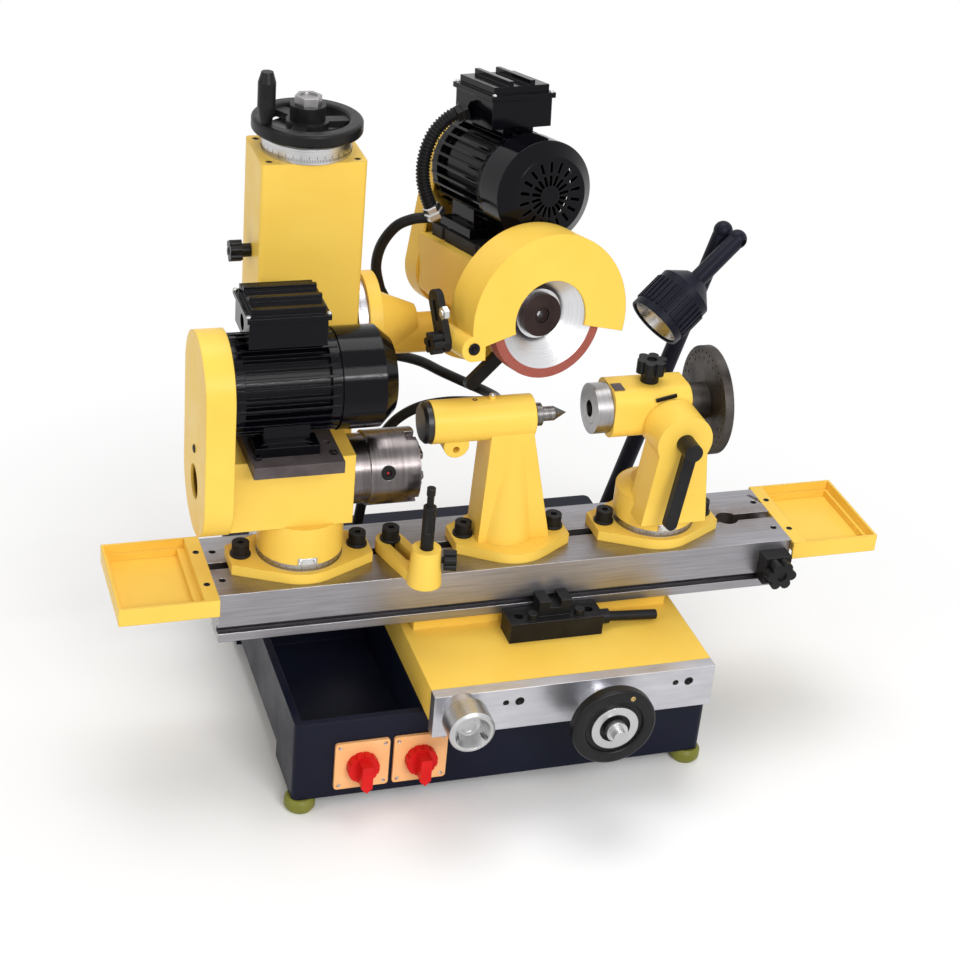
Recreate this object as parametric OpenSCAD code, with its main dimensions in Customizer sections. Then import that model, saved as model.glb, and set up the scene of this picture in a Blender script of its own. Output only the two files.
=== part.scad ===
// Tool and cutter grinder: base, cross slide, table with its units, column and wheel head

/* [Base] */
// Width of the base
base_w = 504; // [479:1:529]
// Depth of the base
base_d = 430; // [408:1:452]
// Height of the base above its feet
base_h = 106; // [101:1:111]
// Wall of the base
base_t = 9; // [8.5:0.5:9.5]
// Width of the open pan on the left of the base
pan_w = 140; // [133:1:147]
// Depth of the open pan from front to back
pan_d = 250; // [238:1:262]
// Height of the pan floor above the bottom rim
pan_floor = 34; // [32:1:36]
// Diameter of a rubber foot
foot_d = 36; // [34:1:38]
// Height of a rubber foot
foot_h = 18; // [17:0.5:19]
// Bench bolt hole through a foot
bolt_d = 10.5; // [10:0.5:11]
// Width of a cross way at its top
way_w = 40; // [38:1:42]
// Length of the cross ways
way_l = 300; // [285:1:315]

/* [Switches] */
// Side of a switch plate
plate_w = 64; // [61:1:67]
// Thickness of a switch plate
plate_t = 4; // [3.5:0.5:4.5]
// Left switch
switch_x1 = -173; // [-182:1:-164]
// Right switch
switch_x2 = -104; // [-109:1:-99]
// Height of the switches above the floor
switch_z = 62; // [59:1:65]

/* [Saddle] */
// Width of the saddle
sad_w = 340; // [323:1:357]
// Length of the saddle from front to back
sad_l = 280; // [266:1:294]
// Height of the saddle casting
sad_h = 42; // [40:1:44]
// Depth of the raised seat
rise_l = 96; // [91:1:101]
// Height of the raised seat
rise_h = 18; // [17:0.5:19]
// Width of the table dovetail at its top
dove_w = 52; // [49:1:55]
// Thickness of the saddle front plate
front_t = 15; // [14:0.5:16]
// Height of the saddle front plate
front_h = 55; // [52:1:58]

/* [Feed controls] */
// Cross feed screw
cross_x = 95; // [90:1:100]
// Height of the feed shafts
feed_z = 138; // [131:1:145]
// Diameter of the cross feed screw
screw_d = 16; // [15:0.5:17]
// Diameter of the cross feed dial
dial_d = 62; // [59:1:65]
// Diameter of the cross handwheel
wheel_d = 100; // [95:1:105]
// Diameter of the traverse cup
cup_d = 53; // [50:1:56]
// Length of the traverse cup
cup_l = 34; // [32:1:36]
// Traverse shaft
cup_x = -72; // [-76:1:-68]

/* [Table] */
// Length of the table
tab_w = 700; // [665:1:735]
// Depth of the table
tab_d = 121; // [115:1:127]
// Height of the table
tab_h = 63; // [60:1:66]
// Throat of the table T slot
slot_w = 14; // [13.5:0.5:14.5]
// Head width of the table T slot
slot_head_w = 24; // [23:1:25]

/* [Trays] */
// Length of a tray
tray_w = 112; // [106:1:118]
// Depth of a tray from front to back
tray_d = 136; // [129:1:143]
// Height of a tray
tray_h = 22; // [21:1:23]

/* [Headstock] */
// Headstock swivel
hs_x = -220; // [-231:1:-209]
// Half length of the headstock flange
hs_half = 82; // [78:1:86]
// Thickness of a flange
flange_t = 13; // [12.5:0.5:13.5]
// Diameter of the swivel scales
ring_d = 98; // [93:1:103]
// Height of the swivel scales
ring_h = 8; // [7.5:0.5:8.5]
// Width of the headstock box
box_w = 140; // [133:1:147]
// Depth of the headstock box
box_d = 84; // [80:1:88]
// Underside of the headstock box
box_z0 = 318; // [302:1:334]
// Height of the headstock box
box_h = 87; // [83:1:91]
// Height of the headstock spindle
hs_axis_z = 365; // [347:1:383]
// Bore of the headstock box
hs_bore = 42; // [40:1:44]
// Radius of the belt guard
guard_r = 62; // [59:1:65]
// Thickness of the belt guard
guard_t = 32; // [30:1:34]
// Width of the headstock motor plate
mplate_w = 100; // [95:1:105]
// Thickness of the headstock motor plate
mplate_t = 14; // [13.5:0.5:14.5]
// Radius of the headstock motor over its fins
hm_r = 56; // [53:1:59]
// Length of the headstock motor's frame
hm_len = 118; // [112:1:124]
// Height of the headstock motor's axis above its feet
hm_axis = 63; // [60:1:66]
// Length of the headstock fan cover
hm_cover = 64; // [61:1:67]

/* [Chuck] */
// Diameter of the chuck
chuck_d = 86; // [82:1:90]
// Length of the chuck
chuck_l = 76; // [72:1:80]
// Bore of the chuck
chuck_bore = 25; // [24:1:26]
// Inner radius of the jaws as shown
jaw_r = 12; // [11.5:0.5:12.5]

/* [Tooth rest] */
// Tooth rest clamp bolt
tr_x = -112; // [-118:1:-106]
// Length of the tooth rest's slotted arm
tr_arm = 76; // [72:1:80]
// Diameter of the tooth rest post
tr_post_d = 15; // [14:0.5:16]
// Length of the tooth rest post
tr_post_l = 106; // [101:1:111]

/* [Tailstock] */
// Tailstock
ts_x = 32; // [30:1:34]
// Half length of the tailstock flange
ts_half = 70; // [66:1:74]
// Height of the tailstock quill
ts_axis_z = 417; // [396:1:438]
// Diameter of the tailstock barrel
ts_barrel_d = 50; // [48:1:52]
// Length of the tailstock barrel
ts_l = 121; // [115:1:127]
// Diameter of the tailstock quill
quill_d = 20; // [19:1:21]

/* [Workhead] */
// Workhead swivel
wh_x = 216; // [205:1:227]
// Half length of the workhead flange
wh_half = 77; // [73:1:81]
// Height of the workhead spindle
wh_axis_z = 409; // [389:1:429]
// Diameter of the workhead's tilt boss
wh_boss_d = 68; // [65:1:71]
// Size of the workhead housing across
wh_body_d = 62; // [59:1:65]
// Length of the workhead housing
wh_body_l = 96; // [91:1:101]
// Diameter of the workhead nose
wh_nose_d = 60; // [57:1:63]
// Length of the workhead nose
wh_nose_l = 20; // [19:1:21]
// Bore of the workhead nose
wh_bore = 20; // [19:1:21]
// Diameter of the workhead spindle
wh_spindle_d = 36; // [34:1:38]
// Diameter of the index plate
index_d = 130; // [124:1:136]
// Diameter of the workhead knob
knob_d = 36; // [34:1:38]
// Length of a clamp lever
lever_l = 92; // [87:1:97]

/* [Column] */
// Column
col_x = -188; // [-197:1:-179]
// Column behind the middle of the base
col_y = 106; // [101:1:111]
// Width of the column
col_w = 120; // [114:1:126]
// Depth of the column
col_d = 90; // [86:1:94]
// Lower end of the column sleeve
col_z0 = 330; // [314:1:346]
// Length of the column sleeve
col_h = 350; // [332:1:368]
// Height of the inner post
post_h = 420; // [399:1:441]
// Diameter of the lift screw
lift_d = 20; // [19:1:21]
// Diameter of the lift collar
collar_d = 102; // [97:1:107]
// Diameter of the lift handwheel
lift_wheel_d = 125; // [119:1:131]
// Diameter of the crank handle
crank_d = 20; // [19:1:21]
// Length of the crank handle
crank_l = 58; // [55:1:61]

/* [Arm] */
// Height of the arm's swivel
arm_z = 466; // [443:1:489]
// Diameter of the arm's scale ring
seat_d = 100; // [95:1:105]
// Diameter of the arm flange
arm_flange_d = 112; // [106:1:118]
// Diameter of the arm
arm_d = 52; // [49:1:55]
// Arm below its swivel
arm_drop = 22; // [21:1:23]
// Head swivel
head_x = 33; // [31:1:35]
// Diameter of the head's seat on the arm
pad_d = 88; // [84:1:92]

/* [Head] */
// Wheel spindle above the head's seat
spin_up = 34; // [32:1:36]
// Width of the head housing
body_w = 98; // [93:1:103]
// Length of the head housing
body_l = 162; // [154:1:170]
// Head housing above the spindle
body_up = 46; // [44:1:48]
// Diameter of the spindle nose housing
nose_d = 74; // [70:1:78]
// Width of the head motor plate
hplate_w = 124; // [118:1:130]
// Length of the head motor plate
hplate_l = 120; // [114:1:126]
// Radius of the head motor over its fins
wm_r = 60; // [57:1:63]
// Length of the head motor's frame
wm_len = 122; // [116:1:128]
// Height of the head motor's axis above its feet
wm_axis = 66; // [63:1:69]
// Length of the head fan cover
wm_cover = 54; // [51:1:57]
// Radius of the head belt cover
hguard_r = 52; // [49:1:55]

/* [Wheel] */
// Diameter of the cup wheel
cupw_d = 140; // [133:1:147]
// Length of the cup wheel
cupw_l = 38; // [36:1:40]
// Diameter of the cup wheel's back
cupw_back = 64; // [61:1:67]
// Radius of the wheel guard
wg_r = 100; // [95:1:105]
// Depth of the wheel guard
wg_l = 54; // [51:1:57]

/* [Stops] */
// Length of the table lock
lock_w = 115; // [109:1:121]
// Depth of the table lock
lock_d = 34; // [32:1:36]
// Length of the lock lever
lock_lever_l = 72; // [68:1:76]

/* [Lamp] */
// Diameter of the lamp foot
lamp_foot_d = 52; // [49:1:55]
// Diameter of the lamp arm
lamp_tube_d = 24; // [23:1:25]
// Diameter of the lamp shade
shade_d = 72; // [68:1:76]
// Length of the lamp shade
shade_l = 74; // [70:1:78]

/* [Fasteners] */
// Head of a hold-down screw
cap_d = 20; // [19:1:21]

/* [Hidden] */
// Secondary sizes and positions
base_r = 8;
floor_t = 8;
deck_t = 16;
arch_h = 22;
arch_l = 230;
foot_in_x = 12;
foot_in_y = 12;
bolt_deep = 24;
boss_d = 24;
way_h = 12;
way_lean = 5;
way_x1 = -50;
way_x2 = 185;
switch_hub_d = 37;
switch_hub_h = 10;
switch_grip_w = 13;
switch_grip_l = 54;
switch_grip_h = 16;
switch_pin_d = 8;
switch_pin_l = 12;
sad_out = 20;
sad_x0 = -103;
rise_y0 = -117;
rise_in = 12;
dove_h = 10;
dove_lean = 5;
front_z0 = 113;
plug_d = 11;
plug_deep = 3;
screw_end = -15;
nut_w = 36;
nut_h = 26;
nut_l = 40;
nut_y = -150;
dial_l = 18;
bush_d = 46;
bush_l = 20;
wheel_rim = 16;
wheel_hub_d = 36;
wheel_web = 8;
wheel_hub_l = 26;
cup_wall = 6;
cup_deep = 16;
cup_neck_d = 42;
cup_neck_l = 14;
pinion_shaft_d = 18;
tab_x0 = -324;
tab_y0 = -129;
slot_deep = 11;
slot_head_h = 10;
front_slot_z = 11;
front_slot_h = 9;
front_slot_deep = 8;
front_slot_head = 17;
entry_d = 28;
entry_x = 317;
tap_d = 8;
tap_deep = 18;
tap_in = 10;
drain_w = 6;
drain_l = 64;
drain_deep = 2;
drain_x = 366;
drain_end = 20;
tray_t = 3;
tray_lip = 26;
tray_y0 = -138;
tray_slope = 9;
end_half = 21;
flange_r = 55;
box_x0 = -310;
box_y0 = -108;
guard_wall = 3;
guard_hole = 40;
mplate_x0 = -292;
mplate_y0 = -144;
mplate_d = 126;
chuck_back = 20;
jaw_w = 14;
jaw_h = 22;
jaw_l = 22;
jaw_deep = 12;
key_d = 17;
key_deep = 8;
tr_arm_w = 34;
tr_arm_t = 15;
tr_slot = 11;
tr_boss_d = 40;
tr_boss_top = 33;
tr_boss_h = 46;
tr_pin_d = 8;
tr_pin_l = 16;
star_d = 26;
star_h = 14;
stud_d = 8;
ts_x0 = -76;
ts_foot_w = 88;
ts_top_w = 48;
quill_out = 28;
centre_d = 17;
centre_l = 16;
ts_cap_d = 48;
ts_cap_l = 10;
ts_collar = 7;
ts_shift = 15;
ts_wing = 44;
ts_lug_d = 30;
wh_neck_h = 34;
wh_post_top = 56;
wh_post_d = 44;
wh_body_y = -50;
index_t = 11;
index_hole = 3;
hand_d = 52;
hand_l = 16;
knob_h = 20;
lever_w = 15;
lever_hub_d = 22;
lever_hub_l = 26;
col_r = 5;
col_wall = 14;
col_top = 16;
post_foot = 14;
lift_low = 420;
lift_nut_d = 44;
lift_nut_h = 26;
collar_h = 22;
lift_rim = 16;
lift_hub_d = 40;
lift_hub_l = 30;
crank_pin = 8;
lock_z = 560;
seat_t = 12;
arm_flange_t = 16;
spigot_d = 60;
pad_h = 52;
body_y0 = -96;
body_cut = 14;
nose_l = 20;
wheel_bore = 32;
hplate_in = 12;
hplate_t = 15;
hguard_t = 30;
rim_w = 11;
cone_in = 58;
cone_deep = 22;
wheel_y = -122;
flange_d = 50;
flange_l = 8;
wg_t = 3;
wg_y = -166;
wg_hole = 46;
ear_d = 30;
ear_x = -98;
ear_z = -22;
strap_w = 24;
strap_t = 8;
lock_x = 12;
lock_h = 26;
lock_gap = 1.5;
dog_w = 40;
dog_h = 46;
lock_lever_d = 12;
stop_x = 336;
stop_w = 34;
stop_d = 20;
stop_h = 36;
stop_knob_d = 38;
lamp_x = 225;
lamp_back = 55;
lamp_foot_h = 16;
elbow_x = 352;
elbow_y = 110;
elbow_z = 548;
shade_wall = 3;
shade_neck = 75;
cap_h = 14;
cap_hex = 9;
rod_d = 11.6;
tnut_w = 22;
tnut_h = 8;
washer_d = 24;
washer_t = 2.5;
hold_in = 14;
// Overrun of every cut
over = 1;
// Sliding gap between flat faces
slide = 0.3;
// Radial gap of a running fit
run = 0.3;
// Gap above a way
way_gap = 2;
// Facets that mark a true round
round_fn = 64;
// Derived heights
base_top = foot_h + base_h;
sad_y0 = -base_d / 2 - sad_out;
lamp_y = sad_y0 + sad_l + lamp_back;
sad_z0 = base_top + way_gap;
sad_top = sad_z0 + sad_h;
rise_top = sad_top + rise_h;
tab_z0 = rise_top + way_gap;
tab_top = tab_z0 + tab_h;
tab_mid = tab_y0 + tab_d / 2;
hs_spindle_d = hs_bore - 2 * run;
wheel_shaft_d = wheel_bore - 2 * run;
box_top = box_z0 + box_h;
hm_z = box_top + mplate_t + hm_axis;
hm_x0 = box_x0 + slide;
neck_top = tab_top + flange_t + ring_h;
col_top_z = col_z0 + col_h;
post_top = base_top + post_h;
collar_top = col_top_z + collar_h;
lift_wheel_z = collar_top + lift_rim / 2 + slide;
front_y = sad_y0 - front_t;
dial_y = front_y - bush_l - run;
wheel_y0 = dial_y - dial_l - wheel_rim / 2;
cup_y = front_y - cup_neck_l - run;
col_right = col_x + col_w / 2;
arm_x = col_right + seat_t + slide;
arm_low = arm_z - arm_drop;
wm_y0 = body_y0 + body_l - wm_len;
hplate_y0 = body_y0 + body_l - hplate_l - hplate_in;
pad_top = arm_low + arm_d / 2 + slide;
wm_z = body_up + hplate_t + wm_axis;
// Angles of the head as it stands
head_tilt = 8;
head_turn = 11;
motor_off = 24;
unit_y = tab_mid;
tr_turn = -74;
tr_knob_turn = 60;
drain_turn = -60;
lever_lean = 8;
lever_turn = 12;
arm_lever_turn = 50;
jaw_turn = -49;
key_turn = 60;
crank_turn = 200;
grip_turn = 24;
guard_dip = 14;
strap_turn = 115;
shaft_in = 40;
ts_wall = 7;
rear_gap = 28;
quill_back = 5;
wh_face = -128;
wh_tilt_z = 398;
wh_knob_x = 196;
pivot_d = 40;
shade_aim = [-86, -30, -66];
motor_lean = atan2(motor_off, wm_z);
motor_rise = norm([motor_off, wm_z]);
foot_at = [lamp_x, lamp_y, base_top];
elbow_at = [elbow_x, elbow_y, elbow_z];
post_to = (foot_at - elbow_at) / norm(foot_at - elbow_at);
neck_to = shade_aim / norm(shade_aim);
hinge_to = cross(post_to, neck_to) / norm(cross(post_to, neck_to));
index_count = 36;
index_step = 12;
// Hoses and their routes
hose_d = 13;
conduit_d = 17;
hose_side = [0.3, 1, 0.1];
hose_route = [[-70.2, 139, 459.9], [-73, 149, 466.5], [-79, 156, 484], [-84, 156, 510], [-80, 152,
    538], [-66, 147, 562],
    [-48, 142, 573], [-30, 136, 577]];
conduit_route = [[-22, 132, 580], [-32, 134, 599], [-39, 138, 624], [-38, 142, 651], [-28, 146,
    677], [-10, 149, 695],
    [11, 151, 703]];
supply_route = [[-127.7, 140, 398], [-100, 140, 398], [-62, 147, 393], [-20, 163, 374], [16, 177,
    349], [46, 179, 332],
    [69, 162, 326], [76, 132, 331], [63, 105, 342], [34, 92, 350], [-4, 91, 353], [-40, 92, 347],
        [-68, 94, 328], [-84, 98, 296],
    [-92, 104, 250], [-97, 112, 200], [-100, 118, 150], [-100, 118, 124.3]];
// Proportions
star_core_share = 0.7;
star_lobe_share = 0.33;
star_ball_share = 0.34;
star_dish_share = 0.8;
socket_share = 0.5;
foot_share = 0.42;
screw_share = 0.42;
grip_share = 0.4;
plug_shares = [0.25, 0.86];
hub_share = 0.6;
nut_share = 1.55;
shaft_share = 0.5;
pill_share = 0.95;
fin_share = 0.05;
core_share = 0.86;
fin_run_share = 0.98;
shield_share = 0.98;
shield_run_share = 0.1;
foot_at_share = 0.72;
foot_w_share = 0.5;
foot_from_share = 0.2;
foot_t_share = 0.2;
foot_run_share = 0.6;
shaft_bore_share = 0.42;
foot_hole_share = 0.12;
box_wide_share = 1.3;
box_high_share = 0.55;
box_lid_share = 0.05;
box_from_share = 0.14;
box_run_share = 0.72;
cover_share = 1.02;
cover_wall_share = 0.03;
grille_shares = [0.2, 0.45];
slit_share = 0.06;
slit_long_share = 0.2;
pulley_share = 0.9;
drive_share = 0.6;
post_share = 0.42;
corner_share = 0.3;
face_share = 0.5;
index_shares = [0.9, 0.78];
bore_share = 0.6;
rib_share = 0.88;

// Placing helpers: along X, to the back, to the front
module to_x(p) { translate(p) rotate([0, 90, 0]) children(); }
module to_y(p) { translate(p) rotate([-90, 0, 0]) children(); }
module to_f(p) { translate(p) rotate([90, 0, 0]) children(); }
module rod(d, l) { cylinder(d = d, h = l, $fn = round_fn); }
module tube(d, b, l) {
    difference() {
        rod(d, l);
        translate([0, 0, -over]) rod(b, l + 2 * over);
    }
}
// Rectangle with round corners, drawn about its middle
module soft_rect(w, h, r) {
    square([w - 2 * r, h], center = true);
    square([w, h - 2 * r], center = true);
    for (x = [-1, 1], y = [-1, 1]) translate([x * (w / 2 - r), y * (h / 2 - r)]) circle(r,
        $fn = round_fn);
}
module slab(w, d, h, r) { linear_extrude(h) soft_rect(w, d, r); }
// Two round ends joined by flat sides
module pill(r, up) {
    circle(r, $fn = round_fn);
    translate([0, up]) circle(r, $fn = round_fn);
    translate([-r, 0]) square([2 * r, up]);
}
// Dovetail section standing on its narrow side
module dove(w, h, lean) {
    polygon([[-w / 2 + lean, 0], [w / 2 - lean, 0], [w / 2, h], [-w / 2, h]]);
}
function touch(l, a, r) = let (t = atan2(a, l) + acos(r / norm([l, a]))) [r * cos(t), r * sin(t)];
// Unit flange: a round middle with two blunt ears
module flange_shape(half) {
    p = touch(half, end_half, flange_r);
    circle(flange_r, $fn = round_fn);
    polygon([[half, end_half], p, [-p[0], p[1]], [-half, end_half], [-half, -end_half],
        [-p[0], -p[1]], [p[0], -p[1]], [half, -end_half]]);
}
module star(d, h) {
    difference() {
        union() {
            rod(d * star_core_share, h);
            for (a = [0:60:300]) rotate(a) translate([d * star_lobe_share, 0, 0])
                rod(d * star_ball_share, h);
        }
        translate([0, 0, h * star_dish_share]) rod(d * star_ball_share, h);
    }
}
module socket_screw(l) {
    difference() {
        rod(cap_d, cap_h);
        translate([0, 0, cap_h * socket_share]) cylinder(d = cap_hex, h = cap_h, $fn = 6);
    }
    translate([0, 0, -l]) rod(rod_d, l + over);
}

// Base and what stands on it
module way_shape() { dove(way_w, way_h, way_lean); }
module base_casting() color([0.10, 0.11, 0.15]) {
    px0 = -base_w / 2 + base_t;
    py0 = -base_d / 2 + base_t;
    difference() {
        union() {
            difference() {
                translate([0, 0, foot_h]) slab(base_w, base_d, base_h, base_r);
                translate([px0, py0, foot_h + pan_floor]) cube([pan_w, pan_d, base_h]);
                translate([px0, py0, foot_h - over]) cube([pan_w, pan_d, pan_floor - floor_t + over]);
                translate([px0 + pan_w + base_t, py0, foot_h - over])
                    cube([base_w - pan_w - 3 * base_t, base_d - 2 * base_t, base_h - deck_t + over]);
                translate([px0, py0 + pan_d + base_t, foot_h - over])
                    cube([pan_w + base_t + over, base_d - pan_d - 3 * base_t, base_h - deck_t + over]);
                translate([-base_w / 2 - over, -base_d / 2 + base_d / 5, foot_h - over])
                    cube([base_t + 2 * over, arch_l, arch_h + over]);
            }
            for (x = [-1, 1], y = [-1, 1])
                translate([x * (base_w / 2 - foot_in_x), y * (base_d / 2 - foot_in_y), foot_h])
                    rod(boss_d, bolt_deep + floor_t);
            for (x = [way_x1, way_x2]) to_y([x, -base_d / 2, base_top]) rotate(180)
                linear_extrude(way_l) way_shape();
            translate([cross_x - nut_w / 2, nut_y, base_top - over]) cube([nut_w, nut_l, nut_h + over]);
        }
        for (x = [-1, 1], y = [-1, 1])
            translate([x * (base_w / 2 - foot_in_x), y * (base_d / 2 - foot_in_y), foot_h - over])
                rod(bolt_d, bolt_deep + over);
        for (x = [switch_x1, switch_x2])
            to_f([x, -base_d / 2 + base_t + over, switch_z]) rod(switch_pin_d + 2 * run, base_t +
                2 * over);
        to_y([cross_x, nut_y - over, feed_z]) rod(screw_d + 2 * run, nut_l + 2 * over);
    }
    lamp_foot();
}
module rubber_feet() color([0.43, 0.45, 0.14])
    for (x = [-1, 1], y = [-1, 1]) translate([x * (base_w / 2 - foot_in_x),
        y * (base_d / 2 - foot_in_y), 0])
        difference() {
            rotate_extrude($fn = round_fn) polygon([[0, 0], [foot_d * foot_share, 0], [foot_d / 2,
                foot_h / 4],
                [foot_d / 2, foot_h * 3 / 4], [foot_d * foot_share, foot_h], [0, foot_h]]);
            translate([0, 0, -over]) rod(bolt_d, foot_h + 2 * over);
        }
module switch_plates() color([0.94, 0.70, 0.43])
    for (x = [switch_x1, switch_x2]) to_f([x, -base_d / 2, switch_z])
        difference() {
            slab(plate_w, plate_w, plate_t, plate_t);
            translate([0, 0, -over]) rod(switch_pin_d + 2 * run, plate_t + 2 * over);
            for (i = [-1, 1], j = [-1, 1]) translate([i * plate_w * screw_share,
                j * plate_w * screw_share, plate_t / 2]) rod(plate_t, plate_t);
        }
module switch_knob(x) {
    to_f([x, -base_d / 2 - plate_t - slide, switch_z]) {
        difference() {
            rod(switch_hub_d, switch_hub_h);
            for (a = [0:30:330]) rotate(a) translate([switch_hub_d / 2, 0, -over])
                rod(switch_hub_h / 4, switch_hub_h + 2 * over);
        }
        translate([0, -switch_grip_l * grip_share, 0]) linear_extrude(switch_hub_h + switch_grip_h)
            polygon([[-switch_grip_w / 2, switch_grip_l * 2 / 3], [-switch_grip_w / 2,
                switch_grip_w / 2], [0, 0],
                [switch_grip_w / 2, switch_grip_w / 2], [switch_grip_w / 2, switch_grip_l * 2 / 3]]);
        translate([0, 0, -switch_pin_l]) rod(switch_pin_d, switch_pin_l + over);
    }
}
module switch_knob_left() color([0.86, 0.09, 0.07]) switch_knob(switch_x1);
module switch_knob_right() color([0.86, 0.09, 0.07]) switch_knob(switch_x2);
module column_post() color([0.55, 0.54, 0.56]) {
    w = col_w - 2 * col_wall - 2 * slide;
    d = col_d - 2 * col_wall - 2 * slide;
    translate([col_x, col_y, base_top]) difference() {
        union() {
            slab(w, d, post_h, col_r);
            slab(col_w, col_d, post_foot, col_r);
        }
        translate([0, 0, -over]) rod(lift_nut_d, post_h + 2 * over);
        for (x = [-1, 1], y = [-1, 1]) translate([x * (col_w / 2 - col_wall / 2),
            y * (col_d / 2 - col_wall / 2), -over])
            rod(stud_d, post_foot + 2 * over);
    }
    lift_nut();
}
module lift_nut() translate([col_x, col_y, post_top - lift_nut_h]) {
    tube(lift_nut_d, lift_d + 2 * run, lift_nut_h);
    translate([0, 0, lift_nut_h]) tube(lift_nut_d + col_wall / 2, lift_d + 2 * run, lift_nut_h / 4);
}

// Saddle and feed controls
module saddle_casting() color([0.98, 0.80, 0.26]) {
    difference() {
        union() {
            translate([sad_x0, sad_y0, sad_z0]) cube([sad_w, sad_l, sad_h]);
            translate([sad_x0 + rise_in, rise_y0, sad_top - over]) cube([sad_w - 2 * rise_in,
                rise_l, rise_h + over]);
            to_x([sad_x0 + rise_in, tab_mid, rise_top - over]) rotate(90)
                linear_extrude(sad_w - 2 * rise_in) dove(dove_w, dove_h + over, dove_lean);
        }
        for (x = [way_x1, way_x2]) to_y([x, sad_y0 - over, base_top]) rotate(180)
            linear_extrude(sad_l + 2 * over) dove(way_w + 2 * slide, way_h + slide, way_lean);
        translate([cross_x - nut_w / 2 - base_t / 2, sad_y0 + front_t, sad_z0 - over])
            cube([nut_w + base_t, sad_l, nut_h + base_t / 2 + over]);
        to_y([cross_x, sad_y0 - over, feed_z]) rod(screw_d + 2 * run, sad_l + 2 * over);
        to_y([cup_x, sad_y0 - over, feed_z + rise_in]) rod(pinion_shaft_d + 2 * run, shaft_in + over);
    }
}
module saddle_front_plate() color([0.62, 0.60, 0.60]) {
    front_plate();
    feed_bearings();
}
module front_plate() difference() {
    translate([sad_x0, front_y, front_z0]) cube([sad_w, front_t, front_h]);
    to_y([cross_x, front_y - over, feed_z]) rod(screw_d + 2 * run, front_t + 2 * over);
    to_y([cup_x, front_y - over, feed_z + rise_in]) rod(pinion_shaft_d + 2 * run, front_t + 2 * over);
    for (x = plug_shares, k = [0, 1]) to_y([sad_x0 + sad_w * x + k * plug_d * 3 / 2,
        front_y - over, front_z0 + front_h * 2 / 3])
        rod(plug_d * (2 + k) / 3, plug_deep + over);
}
module feed_bearings() {
    to_f([cross_x, front_y, feed_z]) tube(bush_d, screw_d + 2 * run, bush_l);
    to_f([cup_x, front_y, feed_z + rise_in]) tube(cup_neck_d, pinion_shaft_d + 2 * run, cup_neck_l);
}
module wheel_shape(d, rim, hub_d, hub_l, web, bore) {
    difference() {
        union() {
            rotate_extrude($fn = round_fn) translate([d / 2 - rim / 2, 0]) soft_rect(rim, rim, rim / 4);
            translate([0, 0, -web / 2]) rod(d - rim, web);
            translate([0, 0, -rim / 2]) rod(hub_d, hub_l);
        }
        translate([0, 0, -rim]) rod(bore, hub_l + 2 * rim);
    }
}
// Gaps between three spokes
module spoke_gaps(outer, inner, spoke) {
    difference() {
        circle(outer, $fn = round_fn);
        circle(inner, $fn = round_fn);
        for (a = [0:120:240]) rotate(a) translate([0, -spoke / 2]) square([2 * outer, spoke]);
    }
}
module cross_handwheel() color([0.05, 0.05, 0.06]) to_f([cross_x, wheel_y0, feed_z])
    difference() {
        wheel_shape(wheel_d, wheel_rim, wheel_hub_d, wheel_rim * 2 / 3, wheel_web, screw_d);
        rotate(-grip_turn) translate([0, wheel_d / 2 - wheel_rim / 2, 0]) rod(wheel_rim * 2 / 5,
            wheel_rim);
    }
module cross_dial() to_f([cross_x, dial_y, feed_z]) difference() {
    union() {
        rod(dial_d, dial_l * 3 / 4);
        rod(wheel_hub_d, dial_l);
    }
    translate([0, 0, -over]) rod(screw_d, dial_l + 2 * over);
}
module cross_screw() color([0.66, 0.66, 0.68]) {
    cross_dial();
    l = screw_end - wheel_y0 + wheel_hub_l;
    to_y([cross_x, wheel_y0 - wheel_hub_l, feed_z]) rod(screw_d, l);
    to_f([cross_x, wheel_y0 - wheel_web / 2, feed_z]) tube(wheel_hub_d * nut_share, wheel_hub_d +
        2 * run, wheel_rim / 4);
    to_f([cross_x, wheel_y0 - wheel_web, feed_z]) rod(screw_d * nut_share, wheel_web);
}
module traverse_cup() color([0.80, 0.80, 0.81]) {
    cup_shell();
    pinion_shaft();
}
module cup_shell() to_f([cup_x, cup_y, feed_z + rise_in]) {
    difference() {
        rotate_extrude($fn = round_fn) polygon([[0, 0], [cup_d / 2 - cup_wall / 2, 0], [cup_d / 2,
            cup_wall / 2],
            [cup_d / 2, cup_l - cup_wall / 2], [cup_d / 2 - cup_wall / 2, cup_l],
            [cup_d / 2 - cup_wall, cup_l], [cup_d / 4, cup_l - cup_deep], [0, cup_l - cup_deep]]);
        for (a = [90, 210, 330]) rotate(a) translate([cup_d / 3, 0, cup_l - cup_deep])
            rod(cup_wall, cup_l);
        translate([0, 0, -over]) rod(pinion_shaft_d, cup_l);
    }
}
module pinion_shaft() to_y([cup_x, cup_y - cup_l * shaft_share, feed_z + rise_in])
    rod(pinion_shaft_d, cup_l * shaft_share + cup_neck_l + front_t + shaft_in - slide);
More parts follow.
